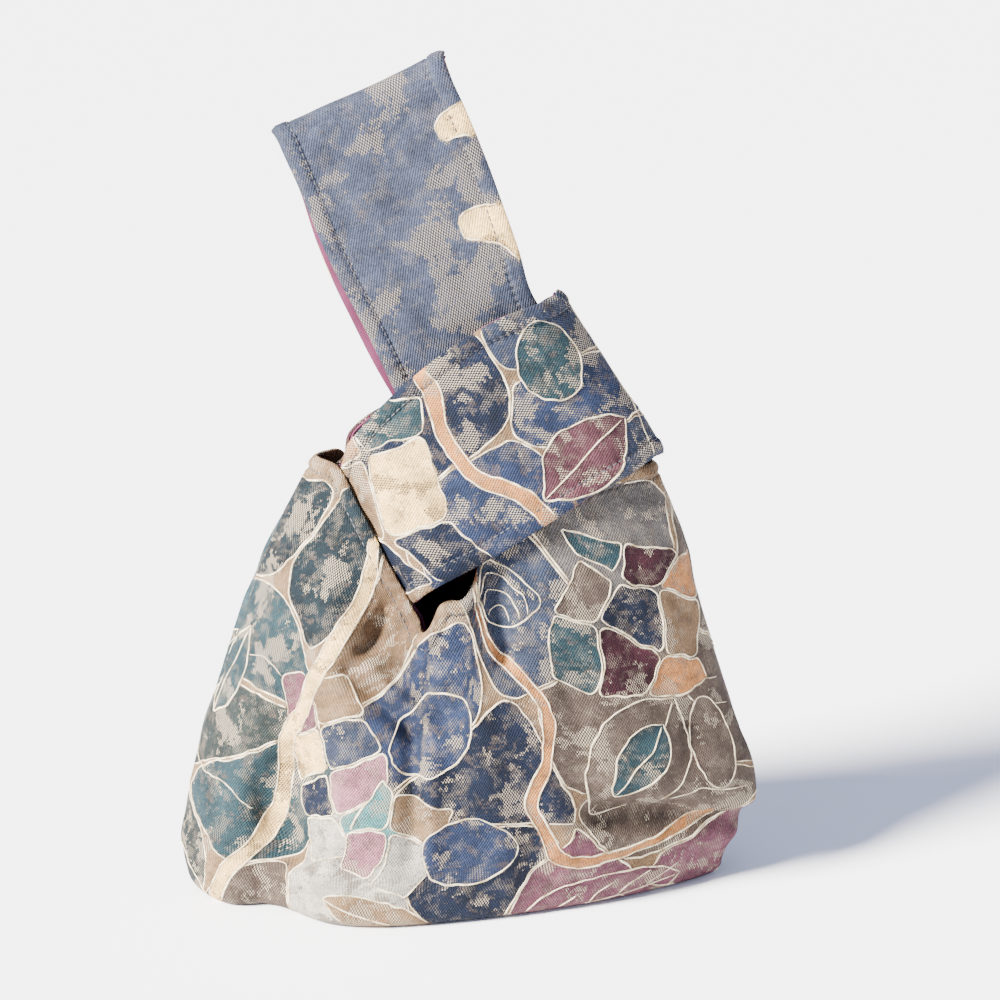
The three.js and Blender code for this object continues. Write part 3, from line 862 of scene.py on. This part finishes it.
# fine creases, in mm across and up, as seen from the front
fineCreases = {"front": folds(
    (-40, 132, -33, 128, 11, 3.6, 0.0, 0.0),
    (-56, 152, -52, 112, 7, -1.8, 0.0, 0.8),
    (-19, 88, -47, 114, 5, 6.6, 0.7, 0.4),
    (-44, 115, -18, 130, 5.5, 3.2, 0.75, 0.6),
    (-19, 34, -19, 88, 6, 4.4, 0.7, 0.6),
    (-2, 112, 0, 92, 15, -3.0, 0.0, 0.8),
    (8, 152, 14, 118, 4.6, 4.2, 0.45, 0.8),
    (3, 143, 6, 122, 3.4, 1.4, 0.4, 0.8),
    (24, 156, 26, 128, 5, 1.6, 0.3, 0.8),
    (-90, 50, -69, 12, 7.5, 6.0, 0.25, 0.5),
    (-52, 26, -40, 6, 8, 2.8, 0.3, 0.6),
    (54, 40, 127, 24, 7, 7.0, 0.5, 0.5),
    (118, 56, 60, 62, 11, -1.8, 0.0, 0.8),
    (100, 12, 44, 22, 8, -1.6, 0.0, 0.8),
    (60, 124, 92, 76, 11, 3.2, 0.4, 0.8),
    (18, 66, 26, 20, 11, 3.2, 0.4, 0.8),
    (40, 110, 44, 62, 9, 1.8, 0.4, 0.8),
    (-100, 130, -112, 70, 12, 2.0, 0.3, 0.8),
    (-74, 110, -80, 66, 9, 2.0, 0.3, 0.8),
    (84, 146, 96, 110, 8, 2.0, 0.4, 0.8),
    (70, 150, 78, 128, 6, 1.4, 0.4, 0.8),
    (100, 90, 84, 40, 10, 1.8, 0.3, 0.8),
), "back": folds(
    (98, 28, 127, 24, 7, 7.0, 0.5, 0.5),
    (40, 150, 62, 60, 8, 3.2, 0.4, 0.7),
    (-12, 140, -20, 80, 6, 3.0, 0.4, 0.8),
    (-100, 30, -40, 50, 8, 4.0, 0.4, 0.7),
    (84, 12, 60, 60, 9, 3.0, 0.3, 0.7),
    (-60, 120, -84, 60, 10, -2.0, 0.0, 0.8),
    (-40, 150, -34, 110, 7, 2.2, 0.4, 0.8),
    (10, 60, 0, 14, 10, 2.4, 0.3, 0.8),
)}


def bulge(across, ridge, leftRound, rightRound):  # from 0 at the seams to 1 at the ridge
    away = np.where(across < ridge, 1 - across / ridge, (across - ridge) / (1 - ridge))
    rounding = np.where(across < ridge, leftRound, rightRound)
    return np.maximum(0, 1 - away ** rounding) ** (1 / rounding)


def wallPoint(side, across, height):
    across, height = np.broadcast_arrays(np.asarray(across, float), np.asarray(height, float))
    size = {name: smooth(sections, "height", name, height) for name in sections[0]}
    left, right = -size["left"] * body["width"] / 2, size["right"] * body["width"] / 2
    if side == "front":
        depth = size["front"] * bulge(across, size["ridge"], size["leftRound"], size["rightRound"])
    else:
        depth = size["back"] * bulge(across, 0.5, size["backRound"], size["backRound"])
    held = np.minimum(1, body["seamHold"] * across * (1 - across))
    pushed = furrows(broadFolds[side], across * body["width"], height * body["height"])
    out = depth * body["depth"] / 2 - held * pushed
    y = -out if side == "front" else out
    return stacked(mix(left, right, across), y, height * body["height"])


def wallNormal(side, across, height):
    step = 0.01
    low, high = np.maximum(across - step, 0), np.minimum(across + step, 1)
    sideways = wallPoint(side, high, height) - wallPoint(side, low, height)
    upwards = wallPoint(side, across, height + step) - wallPoint(side, across, height - step)
    normal = unit(np.cross(sideways, upwards))
    return normal if side == "front" else -normal


def rimHeight(side, across):
    return smooth(rims[side], "across", "height", np.asarray(across, float))


def awayFromRim(side, points):  # shortest distance to the rim, in mm across and up
    x, z = points[..., 0], points[..., 2]
    across = np.linspace(0, 1, body["rimPlaces"])
    rim = wallPoint(side, across, rimHeight(side, across))[:, [0, 2]]
    near = np.full(x.shape, 1e9)
    for a, b in zip(rim[:-1], rim[1:]):
        along = b - a
        t = ((x - a[0]) * along[0] + (z - a[1]) * along[1]) / max(along @ along, 1e-9)
        t = np.clip(t, 0, 1)
        near = np.minimum(near, np.hypot(x - a[0] - t * along[0], z - a[1] - t * along[1]))
    return near


def hemRelief(away, along, hem):  # a turned hem with a row of stitches that pulls it in
    past = away - hem["width"]
    rise = hem["rise"] * (1 - soften(-hemShape["stepIn"], hemShape["stepOut"], past))
    groove = hem["groove"] * hump(past, hemShape["grooveWidth"])
    waves = np.sin(2 * math.pi * along / stitch["pitch"])
    pucker = hem["pucker"] * waves * hump(past, hemShape["puckerWidth"])
    return rise * soften(hemShape["edgeLow"], hemShape["edgeFull"], away) - groove + pucker


def wallGrid(columns, drops, rows, extraDrop):  # heights run down from the rim, drops are in mm
    even = np.linspace(0, 1, columns + 1)
    places = mix(even, (1 - np.cos(math.pi * even)) / 2, body["endCrowding"])
    bend = body["baseRadius"] / body["height"]
    panels = {}
    for side in ("front", "back"):
        across = places if side == "front" else places[::-1]
        rim = rimHeight(side, across) - extraDrop(across) / body["height"]
        start = rim - drops[-1] / body["height"]
        below = np.linspace(0, 1, rows + 1)[1:, None]
        heights = np.concatenate([rim - drops[:, None] / body["height"], mix(start, bend, below)])
        panels[side] = wallPoint(side, across[None, :] + 0 * heights, heights)
    return np.concatenate([panels["front"][:, :-1], panels["back"][:, :-1]], axis=1)


def bodySurface(points):  # the walls, closed by a bend and a base
    last = points[-1]
    along = np.roll(last, -1, axis=0) - np.roll(last, 1, axis=0)
    inward = unit(stacked(-along[:, 1], along[:, 0], 0 * along[:, 0]))
    reach = body["inwardReach"]
    inward = unit(sum(np.roll(inward, k, axis=0) for k in range(-reach, reach + 1)))
    rows = [points]
    for k in range(1, body["bendRows"] + 1):
        angle = math.pi / 2 * k / body["bendRows"]
        row = last + inward * body["baseRadius"] * (1 - math.cos(angle))
        row[:, 2] = body["baseRadius"] * (1 - math.sin(angle))
        rows.append(row[None])
    edge = rows[-1][0]
    centre = edge.mean(axis=0)
    for k in range(1, body["baseRings"]):
        rows.append(mix(edge, centre, k / body["baseRings"])[None])
    grid = np.concatenate(rows)
    normals = gridNormals(grid, True)
    normals[-body["baseRings"]:] = (0, 0, -1)
    return grid, normals, centre


def panelsOf(count, extra=0):  # the columns of the front and of the back
    half = count // 2
    return ("front", slice(0, half + extra)), ("back", slice(half, 2 * half + extra))


def lumpsOf(across, up, rows):  # soft unevenness from rows of rise, size in mm and seed
    return sum(rise * softNoise(across, up, size, seed) for rise, size, seed in rows)


def fadeAtBase(points):  # nothing stands out from the cloth where it bends under the bag
    return soften(*body["baseFade"], points[..., 2])


def flatPlaces(points):  # where each point lies on the flat cloth of its panel, in mm
    closed = np.concatenate([points, points[:, :1]], axis=1)
    wallRows = points.shape[0] - body["baseRings"] + 1
    flat = {}
    for side, columns in panelsOf(points.shape[1], 1):
        panel = closed[:, columns]
        across = lengthAlong(panel, 1)
        across -= across[:, -1:] / 2
        down = lengthAlong(panel[:wallRows], 0)
        ring = np.linalg.norm(panel[wallRows:, :, :2] - panel[wallRows - 1, :, :2], axis=-1)
        up = np.concatenate([down[-1:] - down, -ring])
        flat[side] = stacked(across, up)
    return flat


def bodyRelief(points, flat):
    relief = np.zeros(points.shape[:2])
    for side, columns in panelsOf(points.shape[1]):
        panel, ends = points[:, columns], flat[side][..., 0]
        across, up = flat[side][:, :-1, 0], flat[side][:, :-1, 1]
        part = hemRelief(awayFromRim(side, panel), across - up, body["hem"])
        part = part - furrows(fineCreases[side], panel[..., 0], panel[..., 2])
        part += lumpsOf(across, up, body["lumps"])
        seam = np.minimum(across - ends[:, :1], ends[:, -1:] - across)
        relief[:, columns] = part - body["seamDepth"] * hump(seam, body["seamWidth"])
    return relief * fadeAtBase(points)


def gridFaces(rings, columns, closed=True):
    r = np.arange(rings - 1)[:, None] * columns
    k = np.arange(columns if closed else columns - 1)[None, :]
    after = (k + 1) % columns
    return stacked(r + k, r + after, r + columns + after, r + columns + k).reshape(-1, 4)


def cornersOf(grid):  # values of a grid of places, at the four corners of each of its faces
    return np.stack([grid[:-1, :-1], grid[:-1, 1:], grid[1:, 1:], grid[1:, :-1]], axis=2)


def overEdge(outer, lower, away):  # three rows over an edge of the cloth, from outside to inside
    half, heart = (outer - lower) / 2, (outer + lower) / 2
    size = np.linalg.norm(half, axis=-1, keepdims=True)
    angles = (math.pi / 4, math.pi / 2, 3 * math.pi / 4)
    return np.array([heart + half * math.cos(a) + away * size * math.sin(a) for a in angles])


def innerRows(count):  # the inside has fewer rows
    rows = list(range(0, count, body["innerRowStep"]))
    return rows if rows[-1] == count - 1 else rows + [count - 1]


# rings of points on the outside from the base up, then on the inside down
def shellMesh(outer, inner, outerHeart, innerHeart):
    count, few = outer.shape[1], inner.shape[1]
    step = count // few
    faces = gridFaces(len(outer), count).tolist()
    start, top = len(outer) * count, (len(outer) - 1) * count
    for k in range(few):
        fine = [top + (k * step + i) % count for i in range(step + 1)]
        faces.append(fine + [start + (k + 1) % few, start + k])
    faces += (gridFaces(len(inner), few) + start).tolist()
    hearts, last = start + len(inner) * few, start + (len(inner) - 1) * few
    faces += [(hearts, (k + 1) % count, k) for k in range(count)]
    faces += [(hearts + 1, last + k, last + (k + 1) % few) for k in range(few)]
    rings = [outer.reshape(-1, 3), inner.reshape(-1, 3)]
    return np.concatenate([*rings, [outerHeart, innerHeart]]) + middle, faces


def shellCorners(grids, rows, step, rise=0):  # values of both panels at those faces' corners
    outer, edges, inner, lowCaps, highCaps = [], [], [], [], []
    for grid in grids:
        overRim = [grid[:1] + k * np.asarray(rise) for k in (1, 2, 3)]
        outer.append(cornersOf(np.concatenate([grid[::-1], *overRim])))
        rim = grid[0]
        for k in range(0, len(rim) - 1, step):
            edges.append(np.concatenate([rim[k:k + step + 1], rim[[k + step, k]]]))
        coarse = grid[rows][:, ::step]
        inner.append(cornersOf(coarse))
        low, high = grid[-1], coarse[-1]
        heart = low.mean(axis=0)
        for caps, first, second in ((lowCaps, low[1:], low[:-1]), (highCaps, high[:-1], high[1:])):
            caps.append(np.stack([np.broadcast_to(heart, first.shape), first, second], axis=1))
    parts = (
        np.concatenate(outer, axis=1), np.concatenate(edges), np.concatenate(inner, axis=1),
        np.concatenate(lowCaps), np.concatenate(highCaps))
    return np.concatenate([part.reshape(-1, grids[0].shape[-1]) for part in parts])


def clothShell(points, normals, heart, depth, thickness, relief, step):
    rows = innerRows(len(points))
    outer = points + normals * (relief - depth)[..., None]
    outer[..., 2] = np.maximum(outer[..., 2], 0)
    lower = points + normals * (np.minimum(relief, 0) - depth - thickness)[..., None]
    rounding = overEdge(outer[0], lower[0], unit(points[0] - points[1]))
    rings = np.concatenate([outer[::-1], rounding])
    outerHeart = heart + (0, 0, depth[-1, 0])
    innerHeart = outerHeart + (0, 0, thickness)
    vertices, faces = shellMesh(rings, lower[rows][:, ::step], outerHeart, innerHeart)
    return vertices, faces, rows


def stitchRow(points, normals):  # a row of lockstitches over a line on the cloth
    reach = reachOf(points)
    at = np.arange(stitch["pitch"] / 2, reach[-1], stitch["pitch"])
    place, up = sampled(points, reach, at), unit(sampled(normals, reach, at))
    along = unit(sampled(points, reach, at + 0.5) - sampled(points, reach, at - 0.5))
    frames = np.stack([along, unit(np.cross(along, up)), up], axis=1)
    count, rings, half = stitch["sides"], stitch["rings"], stitch["width"] / 2
    angles = np.arange(count) * 2 * math.pi / count
    template = np.array([
        (a * stitch["length"], r * math.cos(t) * half,
         stitch["lift"] + (r * math.sin(t) * stitch["flatness"] + drop) * half)
        for a, r, drop in rings for t in angles
    ])
    size = len(template)
    own = gridFaces(len(rings), count).tolist()
    own += [list(range(count))[::-1], list(range(size - count, size))]
    faces = [[size * n + k for k in face] for n in range(len(place)) for face in own]
    vertices = place[:, None] + np.einsum("vk,nkx->nvx", template, frames)
    return vertices.reshape(-1, 3), faces


def addStitches(name, rows):
    points, faces = joined([stitchRow(*row) for row in rows])
    thread = makeObject(name, points, faces, sewingThread)
    print(name, "faces", len(faces))


def hemLine(surface, normals, away):  # where the stitches run, on a panel of rows from its rim
    points, facing = [], []
    for k in range(surface.shape[1]):
        below = np.flatnonzero(away[:, k] >= body["hem"]["width"])
        i = max(1, int(below[0])) if len(below) else 1
        a, b = away[i - 1, k], away[i, k]
        t = 0 if b == a else np.clip((body["hem"]["width"] - a) / (b - a), 0, 1)
        points.append(mix(surface[i - 1, k], surface[i, k], t))
        facing.append(normals[i, k])
    return np.array(points), np.array(facing)


print("body cloth")
step = body["innerColumnStep"]
bodyWall = wallGrid(
    body["halfColumns"], np.arange(*body["rimRows"]), body["sideRows"], lambda across: 0 * across)
bodyPoints, bodyNormals, bodyCentre = bodySurface(bodyWall)
bodyFlat = flatPlaces(bodyPoints)
relief = bodyRelief(bodyPoints, bodyFlat)
bodyVertices, bodyFaces, rows = clothShell(
    bodyPoints, bodyNormals, bodyCentre, 0 * relief, body["cloth"], relief, step)
shapesOf = {side: makeDesign(plans[side]) for side in ("front", "back")}
bodyDye = [dyeOf(plans[side], shapesOf[side], bodyFlat[side]) for side in shapesOf]
bodyPlaces = [bodyFlat["front"], bodyFlat["back"] + panelApart]
bodyCloth = makeObject(
    "body_cloth", bodyVertices, bodyFaces, bodyTapestry,
    shellCorners(bodyPlaces, rows, step, body["rimWrap"]), shellCorners(bodyDye, rows, step))
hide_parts("outer_shell")
print("body_cloth faces", len(bodyFaces))

print("body's raised outlines and stitches")
outerFace = bodyPoints + bodyNormals * relief[..., None]
outerFace = np.concatenate([outerFace, outerFace[:, :1]], axis=1)
outerNormals = np.concatenate([bodyNormals, bodyNormals[:, :1]], axis=1)
bodyLays, hemRows = [], []
for side, columns in panelsOf(bodyPoints.shape[1], 1):
    panel = outerFace[:, columns]
    bodyLays.append((layTool(panel, bodyFlat[side]), visibleLines(shapesOf[side])))
    hemRows.append(hemLine(panel, outerNormals[:, columns], awayFromRim(side, panel)))
addCords("body_outlines", bodyLays)
addStitches("body_hem_stitches", hemRows)

lining = {
    "thickness": 1.0, "gap": 1.0, "start": 5.0, "sideStart": 1.0, "neckStart": 15.0,
    "tuckRoom": 4.6, "tuckReach": 15, "tuckFades": 26, "handleEnds": 0.86, "seamStarts": 0.97,
    "neckAcross": 0.475, "blend": 0.05, "halfColumns": 90, "rows": 62, "rimRows": (0, 4.1, 1.0),
    "wrinkle": (0.35, 11, 9), "wrinkleFade": (4, 20),  # rise and size in mm, seed; heights
}


def liningDepth(points):  # how far in the lining lies: behind the ends of the handles, further
    depth = np.zeros(points.shape[:2])
    for side, columns in panelsOf(points.shape[1]):
        panel = points[:, columns]
        beside = np.abs(panel[..., 0] / panel[..., 0].max())
        isHandle = 1 - soften(lining["handleEnds"], lining["seamStarts"], beside)
        away = awayFromRim(side, panel)
        room = 1 - soften(lining["tuckReach"], lining["tuckFades"], away)
        dents = furrows(fineCreases[side], panel[..., 0], panel[..., 2]) * fadeAtBase(panel)
        depth[:, columns] = lining["tuckRoom"] * room * isHandle + np.maximum(0, dents)
    return body["cloth"] + lining["gap"] + depth


def liningDrop(across):  # how far below the rim the lining starts
    beside = hump(np.minimum(across, 1 - across), lining["blend"])
    neck = hump(across - lining["neckAcross"], lining["blend"])
    start = mix(lining["start"], lining["sideStart"], beside)
    return mix(start, lining["neckStart"], neck)


print("body lining")
liningWall = wallGrid(
    lining["halfColumns"], np.arange(*lining["rimRows"]), lining["rows"], liningDrop)
points, normals, liningCentre = bodySurface(liningWall)
rise, size, seed = lining["wrinkle"]
wrinkles = rise * softNoise(points[..., 0], points[..., 2], size, seed) - rise
liningVertices, liningFaces, innerPlaces = clothShell(
    points, normals, liningCentre, liningDepth(points), lining["thickness"],
    wrinkles * soften(*lining["wrinkleFade"], points[..., 2]), 1)
liningFlat = flatPlaces(points)
bodyLining = makeObject(
    "body_lining", liningVertices, liningFaces, liningCloth,
    shellCorners([liningFlat["front"], liningFlat["back"] + panelApart], innerPlaces, 1))
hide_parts("lining")

strap = {
    "cloth": 1.5, "lining": 1.0, "gap": 0.3, "tuckGap": 1.8, "tuck": 12, "shortLift": 4,
    "longHeight": 364, "longLean": 62, "width": 75, "loopGap": 20,
    "acrossPoints": 74, "stepsBetween": 24,
    "liningOut": {"short_handle": 0.2, "long_handle": 0.1},
    "nub": 1.8, "nubAlong": 4.5, "nubAcross": 6,
    "hem": {"width": 6.3, "rise": 0.85, "groove": 1.05, "pucker": 0.3},
    "lumps": ((0.6, 26), (0.25, 10), (0.1, 5)),  # rise and size in mm
}
# where the ends cross the rim, as places across, and which way their tucked parts run
handleEnds = table("name side outer inner runAcross runDown", [
    ("shortFront", "front", 0.075, 0.355, -0.85, 0.53),
    ("shortBack", "back", 0.085, 0.36, -0.85, 0.53),
    ("longFront", "front", 0.93, 0.56, 0.3, 0.95),
    ("longBack", "back", 0.93, 0.58, 0.3, 0.95),
])
# the short handle's edges as shares of a panel, and how much lower its back half lies
shortCourse = table("outerAcross outerHeight innerAcross innerHeight backDrop", [
    (0.11, 1.05, 0.4, 0.76, 0.03),
    (0.19, 1.16, 0.5, 0.815, 0.08),
    (0.38, 1.265, 0.63, 0.875, 0.1),
    (0.62, 1.325, 0.78, 0.94, 0.08),
    (0.87, 1.345, 0.92, 0.985, 0.03),
    (1.0, 1.345, 1.0, 1.005, 0.0),
])
# the long handle's stations: shares of its height, lean, width and gap
longCourse = table("height shift width tilt leftPart rightPart backShift", [
    (0.522, 0.18, 0.82, 0.63, 0.75, 0.16, 0.05),
    (0.605, 0.45, 0.74, 0.73, 0.55, 0.4, 0.08),
    (0.67, 0.63, 0.79, 0.67, 0.5, 0.5, 0.09),
    (0.762, 0.9, 0.87, 0.57, 0.46, 0.46, 0.06),
    (0.836, 1.07, 0.875, 0.53, 0.38, 0.38, 0.03),
    (0.9, 1.225, 0.88, 0.46, 0.22, 0.22, 0.0),
])
tuckDepth = strap["cloth"] + strap["tuckGap"] + strap["cloth"] + strap["gap"] / 2
shares = np.linspace(0, 1, strap["acrossPoints"] + 1)  # places across a strap


def offWall(side, across, height, lift):
    return wallPoint(side, across, height) + wallNormal(side, across, height) * lift


def panelStation(side, row):
    outerHeight = row["outerHeight"] - (row["backDrop"] if side == "back" else 0)
    across = mix(row["innerAcross"], row["outerAcross"], shares)
    height = mix(row["innerHeight"], outerHeight, shares)
    return offWall(side, across, height, strap["shortLift"])


def tuckedStation(name, share):
    end = next(row for row in handleEnds if row["name"] == name)
    across = mix(end["inner"], end["outer"], shares)
    sideways = share * strap["tuck"] * end["runAcross"] / body["width"]
    down = share * strap["tuck"] * end["runDown"] / body["height"]
    height = rimHeight(end["side"], across) - down
    return offWall(end["side"], across + sideways, height, -tuckDepth)


def looseStation(row, isFront):
    wide = row["width"] * strap["width"]
    shift = row["shift"] * strap["longLean"] + (0 if isFront else row["backShift"] * strap["width"])
    out = -strap["loopGap"] if isFront else strap["loopGap"]
    height = row["height"] * strap["longHeight"] + shares * row["tilt"] * wide
    apart = mix(row["leftPart"], row["rightPart"], shares) * out
    return stacked(shares * wide - shift, apart, height)


def smoothStrip(stations):  # a centripetal curve through the stations, for each place across
    points = np.array(stations)
    points = np.concatenate([[2 * points[0] - points[1]], points, [2 * points[-1] - points[-2]]])
    gaps = np.linalg.norm(np.diff(points, axis=0), axis=-1, keepdims=True) ** 0.5
    rows = []
    for k in range(1, len(points) - 2):
        p0, p1, p2, p3 = points[k - 1:k + 3]
        g0, g1, g2 = gaps[k - 1:k + 2]
        start = ((p1 - p0) / g0 - (p2 - p0) / (g0 + g1) + (p2 - p1) / g1) * g1
        end = ((p2 - p1) / g1 - (p3 - p1) / (g1 + g2) + (p3 - p2) / g2) * g1
        for i in range(strap["stepsBetween"]):
            rows.append(between(p1, p2, start, end, i / strap["stepsBetween"]))
    rows.append(points[-2])
    return np.array(rows)


def handleSurface(firstEnd, secondEnd, firstHalf, secondHalf):  # out and back, over the fold
    return smoothStrip([
        tuckedStation(firstEnd, 1), tuckedStation(firstEnd, 0), *firstHalf,
        *secondHalf[::-1], tuckedStation(secondEnd, 0), tuckedStation(secondEnd, 1),
    ])


def stripFlat(points):  # flat places on a strap: along it from its fold, and across it
    along = lengthAlong(points, 0)
    along -= along[len(points) // 2]
    return stacked(lengthAlong(points, 1), along)


def stripRings(points, normals, near, far):  # near and far are distances from the surface
    outer, lower = points + normals * far[..., None], points + normals * near[..., None]
    right = overEdge(outer[:, -1], lower[:, -1], unit(points[:, -1] - points[:, -2]))
    left = overEdge(lower[:, 0], outer[:, 0], unit(points[:, 0] - points[:, 1]))
    return np.concatenate(
        [outer, right.transpose(1, 0, 2), lower[:, ::-1], left.transpose(1, 0, 2)], axis=1)


def stripFaces(rows, count):  # count is the number of points across one side
    around = 2 * count + 6
    faces = gridFaces(rows, around)[:, [3, 2, 1, 0]].tolist()
    last = (rows - 1) * around
    lower = lambda k: 2 * count + 2 - k
    for k in range(count - 1):
        faces.append((k, k + 1, lower(k + 1), lower(k)))
        faces.append((last + k + 1, last + k, last + lower(k), last + lower(k + 1)))
    for side in (list(range(count - 1, count + 4)), [*range(2 * count + 2, 2 * count + 6), 0]):
        faces.append(tuple(side))
        faces.append(tuple(last + k for k in reversed(side)))
    return faces


def strapRelief(flat, creases, seed):
    across, along = flat[..., 0], flat[..., 1]
    away = np.minimum(across, across[:, -1:] - across)
    relief = hemRelief(away, along, strap["hem"]) - furrows(creases, across, along)
    lumps = [(rise, size, seed + k) for k, (rise, size) in enumerate(strap["lumps"])]
    return relief + lumpsOf(across, along, lumps)


shortCreases = folds(
    (30, -150, 40, -128, 7, 1.4, 0.3, 0.8),
    (52, -150, 58, -118, 6, 1.0, 0.3, 0.8),
    (10, -44, 62, -30, 12, 0.8, 0.0, 0.8),
)
longCreases = folds(
    (12, 7, 30, 6, 2.0, 1.2, 0.2, 0.8),
    (8, 60, 14, 110, 9, 1.0, 0.3, 0.8),
    (50, 90, 58, 130, 8, 1.0, 0.3, 0.8),
)


def aroundStrap(grid):  # values across the outer face, over the edges and back inside
    right, left = np.repeat(grid[:, -1:], 3, axis=1), np.repeat(grid[:, :1], 3, axis=1)
    return np.concatenate([grid, right, grid[:, ::-1], left], axis=1)


def aroundPlaces(flat, thickness):  # the same for flat places: threads go on over the edges
    places = aroundStrap(flat)
    count, step = flat.shape[1], math.pi / 8 * thickness  # a half circle, in four steps
    right, lower = slice(count, count + 3), slice(count + 3, 2 * count + 3)
    places[:, right, 0] += step * np.arange(1, 4)
    places[:, lower, 0] = 2 * flat[:, -1:, 0] + 4 * step - places[:, lower, 0]
    places[:, 2 * count + 3:, 0] -= step * np.arange(3, 0, -1)
    return places


# one layer of a strap, between two distances from its surface
def addStrip(name, points, normals, near, far, flat, thickness, material, dye=None):
    faces = stripFaces(len(points), points.shape[1])
    corners = np.array([k for face in faces for k in face])
    uv = aroundPlaces(flat, thickness).reshape(-1, 2)[corners]
    if dye is not None:
        dye = aroundStrap(dye).reshape(-1, 4)[corners]
    rings = stripRings(points, normals, near, far).reshape(-1, 3)
    return makeObject(name, rings + middle, faces, material, uv, dye)


def foldNubs(points, flat):  # the thick hems stand out a little where the strap is folded
    across, along = flat[..., 0], flat[..., 1]
    points = points.copy()
    side = unit(points[:, -1:] - points[:, :1])
    push = strap["nub"] * hump(along, strap["nubAlong"])
    for edge, sign in ((across, -1), (across[:, -1:] - across, 1)):
        points += side * (sign * push * hump(edge, strap["nubAcross"]))[..., None]
    return points


def hemOn(face, normals, flat, at):  # the line that runs at a distance across a strap
    count = flat.shape[1]
    k = np.array([np.interp(x, row, np.arange(count)) for x, row in zip(at, flat[..., 0])])
    i, low = np.arange(len(face)), np.minimum(k.astype(int), count - 2)
    return mix(face[i, low], face[i, low + 1], (k - low)[:, None]), normals[i, low]


def addHandle(name, points, creases, seed, plan, material):
    points = foldNubs(points, stripFlat(points))
    normals, flat = gridNormals(points, False), stripFlat(points)
    near = np.full(points.shape[:2], strap["gap"] / 2)
    far = near + strap["cloth"] + strapRelief(flat, creases, seed)
    shapes = makeDesign(plan)
    cloth = addStrip(
        name + "_cloth", points, normals, near, far, flat, strap["cloth"], material,
        dyeOf(plan, shapes, flat))
    few = (slice(None, None, 3), slice(None, None, 2))  # the lining's grid is coarser
    lower = points[few].copy()
    for end, nextTo in ((0, 1), (-1, -2)):
        lower[:, end] += unit(lower[:, end] - lower[:, nextTo]) * strap["liningOut"][name]
    top = np.full(lower.shape[:2], -strap["gap"] / 2)
    insideCloth = addStrip(
        name + "_inside", lower, normals[few], top - strap["lining"], top, flat[few],
        strap["lining"], liningCloth)
    face = points + normals * far[..., None]
    addCords(name + "_outlines", [(layTool(face, flat), visibleLines(shapes))])
    inset = strap["hem"]["width"] + 0 * flat[:, 0, 0]
    hems = [hemOn(face, normals, flat, at) for at in (inset, flat[:, -1, 0] - inset)]
    addStitches(name + "_stitches", hems)
    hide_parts(name)
    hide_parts(name + "_lining")


print("handles")
shortSurface = handleSurface(
    "shortFront", "shortBack", [panelStation("front", row) for row in shortCourse],
    [panelStation("back", row) for row in shortCourse[:-1]])
longSurface = handleSurface(
    "longBack", "longFront", [looseStation(row, False) for row in longCourse],
    [looseStation(row, True) for row in longCourse])
addHandle("short_handle", shortSurface, shortCreases, 21, plans["short"], bodyTapestry)
addHandle(
    "long_handle", longSurface, longCreases, 31, plans["long"], strapTapestry)

print("sizes")
({
    "cad": [list(map(float, corner)) for corner in cadBounds],
    "visual": [list(map(float, corner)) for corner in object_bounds()],
})
